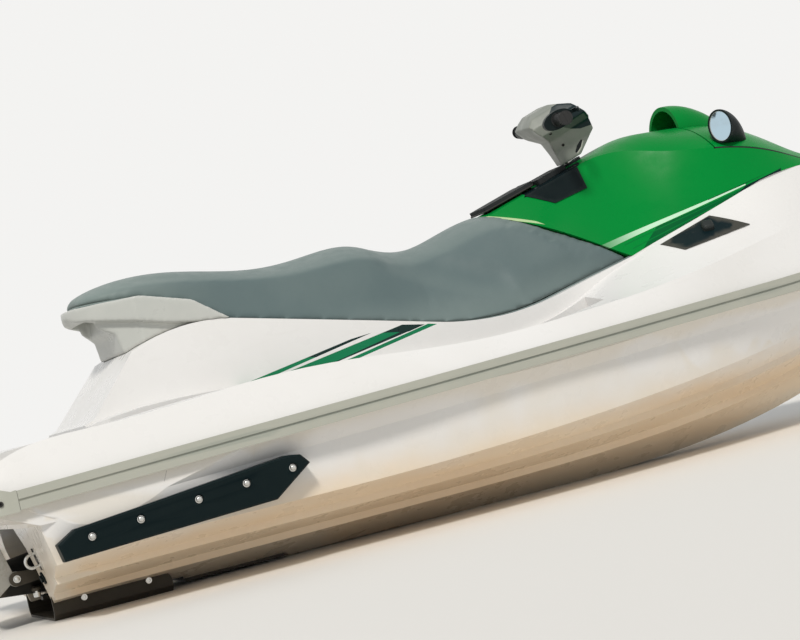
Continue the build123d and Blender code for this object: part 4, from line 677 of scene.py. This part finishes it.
def model_hex_bolt(radius):
    """A hexagon head on a washer, about the origin, its axis up."""
    washer = turn_up(24, radius, radius * 0.22)
    head = turn_up(6, radius * 0.78, radius * 0.7, scaled(HEX_TOP, radius), radius * 0.42)
    pick(washer)
    head.select_set(True)
    bpy.ops.object.join()
    bpy.ops.object.transform_apply(location=True, rotation=True, scale=True)
    smooth_shade(35)
    return bpy.context.object


# Radii, and places in the side view
SPONSON_BOLT = 0.0105
SPONSON_BOLTS = ((0.245, 0.210), (0.373, 0.223), (0.528, 0.237), (0.658, 0.248), (0.787, 0.259))
BUMPER_SCREW = 0.007
BUMPER_SCREWS = ((0.044, 0.338),)
PIVOT_BOLT = 0.010
GATE_PIVOT = (0.108, 0.130)
RIDE_SCREW = 0.009
RIDE_SCREWS = ((0.262, 0.044), (0.440, 0.044))
# The cover's screws: station, distance to port and height, met along one line of sight
COVER_SCREW = 0.0045
COVER_SCREWS = ((1.970, -0.094, 1.043), (2.028, -0.047, 1.008))
COVER_SIGHT = Vector((0.4, 0.85, 0.25))
# The caps on the side vents: width, rise, rounding, place and outward direction on the port side
VENT_CAP = 0.036
VENT_CAP_RISE = 0.018
VENT_CAP_ROUND = 0.01008
VENT_CAP_PLACE = (2.282, 0.3386, 0.6561)
VENT_OUT = (-0.21, 0.68, 0.70)


def cap_vents(black):
    """The square cap with rounded edges that stands on each side vent."""
    deselect()
    bpy.ops.mesh.primitive_cube_add(size=1, location=(0, 0, 0))
    cap = bpy.context.object
    cap.scale = (VENT_CAP, VENT_CAP, 2 * VENT_CAP_RISE)
    bpy.ops.object.transform_apply(location=False, rotation=False, scale=True)
    apply_modifier(cap, "BEVEL", width=VENT_CAP_ROUND, segments=5, limit_method="ANGLE")
    smooth_shade()
    places = []
    for side in (-1, 1):
        out = Vector((VENT_OUT[0], VENT_OUT[1] * side, VENT_OUT[2]))
        middle = Vector((at(VENT_CAP_PLACE[0]), VENT_CAP_PLACE[1] * side, VENT_CAP_PLACE[2]))
        places.append(touch("side_vents", middle + out * NEAR, -out))
    finish_piece(copies_at(cap, places), "vent_caps", black, "hull")


def fasten(steel, black):
    """Bolts and screws, each on the surface that carries it."""
    bolts = copies_at(model_domed_bolt(SPONSON_BOLT), side_places("sponsons", SPONSON_BOLTS))
    finish_piece(bolts, "sponson_bolts", steel, "hull")
    screws = copies_at(model_socket_screw(COVER_SCREW), [
        touch("steering_cover", Vector((at(station), y, height)) - COVER_SIGHT * NEAR, COVER_SIGHT)
        for station, y, height in COVER_SCREWS
    ])
    finish_piece(screws, "cover_screws", black, "steering")
    screws = copies_at(model_socket_screw(BUMPER_SCREW), side_places("stern_bumpers", BUMPER_SCREWS))
    finish_piece(screws, "bumper_screws", black, "hull")
    bolts = copies_at(model_hex_bolt(PIVOT_BOLT), side_places("reverse_gate", (GATE_PIVOT,)))
    finish_piece(bolts, "gate_pivot_bolts", steel, "reverse_gate")
    screws = copies_at(model_socket_screw(RIDE_SCREW), side_places("ride_plate", RIDE_SCREWS))
    finish_piece(screws, "ride_plate_screws", steel, "hull")


# Moulded shells


def soften_shell(node, name, voxel, passes, material, body):
    """A moulded part in place of a node: the node's shape with its edges rounded off."""
    shell = copy_of(node)
    apply_modifier(shell, "REMESH", mode="VOXEL", voxel_size=voxel, use_smooth_shade=True)
    apply_modifier(shell, "SMOOTH", factor=0.5, iterations=passes)
    bpy.ops.object.shade_smooth()
    finish_piece(shell, name, material, body)
    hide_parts(node)


COVER_VOXEL = 0.0028
COVER_PASSES = 9
BOOT_AND_SHADE_LEAST_Y = 0.02
BOOT_AND_SHADE_TURN = (0.42, 0.50)  # the boot's black and its painted shade start where the cover looks this far sideways
TAIL_VOXEL = 0.0040
TAIL_PASSES = 10
# In the side view: the dark boot round the bar, partly a black part and partly painted shade, and the slot,
# painted as shade, with a painted highlight on the lip under it
COVER_DARK = (
    (1.952, 1.072), (1.962, 1.062), (2.085, 1.045), (2.160, 1.055), (2.160, 1.150), (2.020, 1.160),
)
COVER_SLOT = (
    (2.0921, 1.0106), (2.0838, 0.9912), (2.0695, 0.9757),
    (2.0645, 0.9789), (2.0728, 0.9983), (2.0871, 1.0138),
)
SLOT_HIGHLIGHT_SHIFT = (0.0030, -0.0022)


def cover_finish():
    """Grey moulded cover, with a dark boot round the bar on each side, partly black plastic and partly
    painted shade, and a slot ahead of its screws, painted as shade above a painted highlight on its lip.
    """
    finish = moulded("cover_plastic", COVER_GREY, COVER_WORN, 0.42, shine=0.25)
    sideways = finish.math("ABSOLUTE", finish.facing((0, 1, 0)))
    boot_and_shade = finish.paint(COVER_DARK, BOOT_AND_SHADE_LEAST_Y)
    # Painted shade on the sideways faces, over the black of the boot
    finish.tint(finish.math("MULTIPLY", boot_and_shade, finish.ramp(sideways, *BOOT_AND_SHADE_TURN)), COVER_BOOT_AND_SHADE)
    lip_highlight = [(x + SLOT_HIGHLIGHT_SHIFT[0], z + SLOT_HIGHLIGHT_SHIFT[1]) for x, z in COVER_SLOT]
    # Painted highlight on the lit lip under the slot
    finish.tint(finish.paint(lip_highlight), SLOT_LIP_HIGHLIGHT)
    # The slot is painted shade, with no opening modelled
    finish.tint(finish.paint(COVER_SLOT), SLOT_PAINTED_SHADE)
    return finish.material


def shape_shells():
    """The grey cover over the handlebar, and the tail moulding with its handle."""
    cover = cover_finish()
    soften_shell("steering_cover", "bar_cover", COVER_VOXEL, COVER_PASSES, cover, "steering")
    grey = moulded("grey_plastic", GREY, GREY_WORN, 0.34, shine=0.4).material
    soften_shell("tail_handle", "tail_moulding", TAIL_VOXEL, TAIL_PASSES, grey, "hull")


# Seat

SEAT_VOXEL = 0.008
SEAT_PASSES = 8
SEAT_LAST_PASSES = 4
SEAT_PRESSURE = 4
SEAT_FRAMES = 20
SEAT_CAP = 0.006  # the furthest that the simulation moves the vinyl
SEAT_VALLEY = ((1.346, 0.770), (1.454, 0.708), (1.620, 0.635))
VALLEY_DEPTH = 0.010
VALLEY_HALF = 0.034
VALLEY_LEAST_Y = 0.05


def press_valley(seat):
    """The soft hollow that runs down each side from the dip between the two riders' places."""
    lines = list(zip(SEAT_VALLEY, SEAT_VALLEY[1:]))
    for vertex in seat.data.vertices:
        place = Vector((vertex.co.x, vertex.co.z))
        nearest = LENGTH
        for first, second in lines:
            start, end = Vector((at(first[0]), first[1])), Vector((at(second[0]), second[1]))
            along = min(1, max(0, (place - start).dot(end - start) / (end - start).length_squared))
            nearest = min(nearest, (place - start.lerp(end, along)).length)
        if abs(vertex.co.y) > VALLEY_LEAST_Y and nearest < 2 * VALLEY_HALF:
            share = (1 - (nearest / (2 * VALLEY_HALF)) ** 2) ** 2
            vertex.co.y -= VALLEY_DEPTH * share * (1 if vertex.co.y > 0 else -1)


def pad_seat(vinyl):
    """The seat: one long foam pad under vinyl, filled out by a pressure simulation."""
    seat = copy_of("seat")
    apply_modifier(seat, "REMESH", mode="VOXEL", voxel_size=SEAT_VOXEL, use_smooth_shade=True)
    apply_modifier(seat, "SMOOTH", factor=0.5, iterations=SEAT_PASSES)
    rest = [v.co.copy() for v in seat.data.vertices]
    cloth = seat.modifiers.new("cloth", "CLOTH")
    cloth.settings.use_pressure = True
    cloth.settings.uniform_pressure_force = SEAT_PRESSURE
    cloth.settings.effector_weights.gravity = 0
    for number in range(1, SEAT_FRAMES + 1):
        bpy.context.scene.frame_set(number)
    bpy.ops.object.modifier_apply(modifier=cloth.name)
    bpy.context.scene.frame_set(1)
    for vertex, start in zip(seat.data.vertices, rest):
        moved = vertex.co - start
        if moved.length > SEAT_CAP:
            vertex.co = start + moved.normalized() * SEAT_CAP
    press_valley(seat)
    apply_modifier(seat, "SMOOTH", factor=0.5, iterations=SEAT_LAST_PASSES)
    apply_modifier(seat, "SUBSURF", levels=1, render_levels=1)
    bpy.ops.object.shade_smooth()
    finish_piece(seat, "seat_pad", vinyl, "hull")
    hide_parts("seat")


# Beads

WELT_RADIUS = 0.0032
LID_SEAL = 0.0028
BEZEL_RADIUS = 0.0014
BEAD_RESOLUTION = 3
RIM_SHARE = 0.6
DOWN = Vector((0, 0, -1))
AFT = Vector((-1, 0, 0))


def bead_round_rim(node, direction, radius):
    """A round bead along the rims of a node: the edges round its faces that look along a direction."""
    piece = copy_of(node)
    bpy.ops.object.mode_set(mode="EDIT")
    bpy.ops.mesh.select_all(action="DESELECT")
    bpy.ops.object.mode_set(mode="OBJECT")
    mesh = piece.data
    looks = {}
    for face in mesh.polygons:
        for key in face.edge_keys:
            looks.setdefault(key, []).append(face.normal.dot(direction) > RIM_SHARE)
    for edge in mesh.edges:
        edge.select = sorted(looks[edge.key]) == [False, True]
    bpy.ops.object.mode_set(mode="EDIT")
    bpy.ops.mesh.select_mode(type="EDGE")
    bpy.ops.mesh.select_all(action="INVERT")
    bpy.ops.mesh.delete(type="EDGE_FACE")
    bpy.ops.mesh.select_all(action="SELECT")
    bpy.ops.mesh.delete_loose(use_verts=True, use_edges=False, use_faces=False)
    bpy.ops.object.mode_set(mode="OBJECT")
    bpy.ops.object.convert(target="CURVE")
    piece = bpy.context.object
    piece.data.bevel_depth = radius
    piece.data.bevel_resolution = BEAD_RESOLUTION
    piece.data.use_fill_caps = True
    bpy.ops.object.convert(target="MESH")
    bpy.ops.object.shade_smooth()
    return bpy.context.object


def lay_welt(vinyl):
    """The bead sewn round the foot of the seat."""
    welt = bead_round_rim("seat", DOWN, WELT_RADIUS)
    finish_piece(welt, "seat_welt", vinyl, "hull")


def seal_lid(rubber):
    """The seal under the rim of the glove box lid."""
    seal = bead_round_rim("glovebox_lid", DOWN, LID_SEAL)
    finish_piece(seal, "lid_seal", rubber, "glovebox_lid")


def ring_mirrors(trim):
    """A thin worn bead round each mirror glass."""
    bezels = bead_round_rim("mirror_glasses", AFT, BEZEL_RADIUS)
    finish_piece(bezels, "mirror_bezels", trim, "hatch")


# Gauge

DIAL_PLACE = (2.494, 1.009)
DIAL_RADIUS = 0.024
DIAL_DEPTH = 0.004
# Shares of the radius: the hub, the face, where the ticks start and end, and how far down they go
HUB_SHARE = 0.16
FACE_SHARE = 0.50
TICK_SHARES = (0.62, 0.78)
TICK_DROP = 0.45
TICKS = 24
TICK_LEAST = 0.86  # the ticks show where the cosine of the angle times their number is above this
DIAL_RIM = ((0.0006, 0.0012), (0.0022, 0), (0.0006, -0.0020))  # rings in metres


def dial_finish():
    """A dark dial with a hub, and pale ticks round its edge."""
    finish = moulded("dial_face", DIAL, DIAL_WORN, 0.35)
    up = finish.math("SUBTRACT", finish.dot((0, 0, 1)), DIAL_PLACE[1])
    across = finish.dot((0, 1, 0))
    angle = finish.math("ARCTAN2", up, across)
    turns = finish.math("COSINE", finish.math("MULTIPLY", angle, TICKS))
    ticks = finish.math("GREATER_THAN", turns, TICK_LEAST)
    squares = finish.math("ADD", finish.math("MULTIPLY", up, up), finish.math("MULTIPLY", across, across))
    far = finish.math("SQRT", squares)
    outer = finish.math("GREATER_THAN", far, DIAL_RADIUS * TICK_SHARES[0])
    inner = finish.math("LESS_THAN", far, DIAL_RADIUS * TICK_SHARES[1])
    above = finish.math("GREATER_THAN", up, -DIAL_RADIUS * TICK_DROP)
    ring = finish.math("MULTIPLY", inner, above)
    finish.tint(finish.math("MULTIPLY", finish.math("MULTIPLY", ticks, outer), ring), DIAL_MARK)
    finish.tint(finish.math("LESS_THAN", far, DIAL_RADIUS * HUB_SHARE), DIAL_HUB)
    return finish.material


def face_gauge(black):
    """A round instrument with a raised rim, on the gauge's flat back towards the rider."""
    dial = turn_up(48, DIAL_RADIUS, DIAL_DEPTH, DIAL_RIM)
    smooth_shade(35)
    place, normal = touch("gauge", (at(DIAL_PLACE[0]) - NEAR, 0, DIAL_PLACE[1]), (1, 0, 0))
    dial = copies_at(dial, [(place, normal)])
    finish_piece(dial, "gauge_dial", black, "hatch")
    dial.data.materials.append(dial_finish())
    for face in dial.data.polygons:
        off = Vector((face.center.y, face.center.z - DIAL_PLACE[1])).length
        if face.normal.x < -STRAIGHT and off < DIAL_RADIUS * FACE_SHARE:
            face.material_index = 1


place_camera()
lay_floor()
light_studio()
dress_nodes()
vinyl = vinyl_finish()
chrome = metal("chrome", STEEL, BOLT_WORN, 0.14, depth=0.00002).material
black_hardware = moulded("black_hardware", HARDWARE, HARDWARE_WORN, 0.4).material
pale_trim = moulded("pale_trim", TRIM, TRIM_WORN, 0.35).material
fasten(chrome, black_hardware)
shape_shells()
pad_seat(vinyl)
lay_welt(vinyl)
ring_mirrors(pale_trim)
face_gauge(black_hardware)
cap_vents(moulded("vent_cap", CAP, CAP_WORN, 0.5).material)
seal_lid(black_hardware)
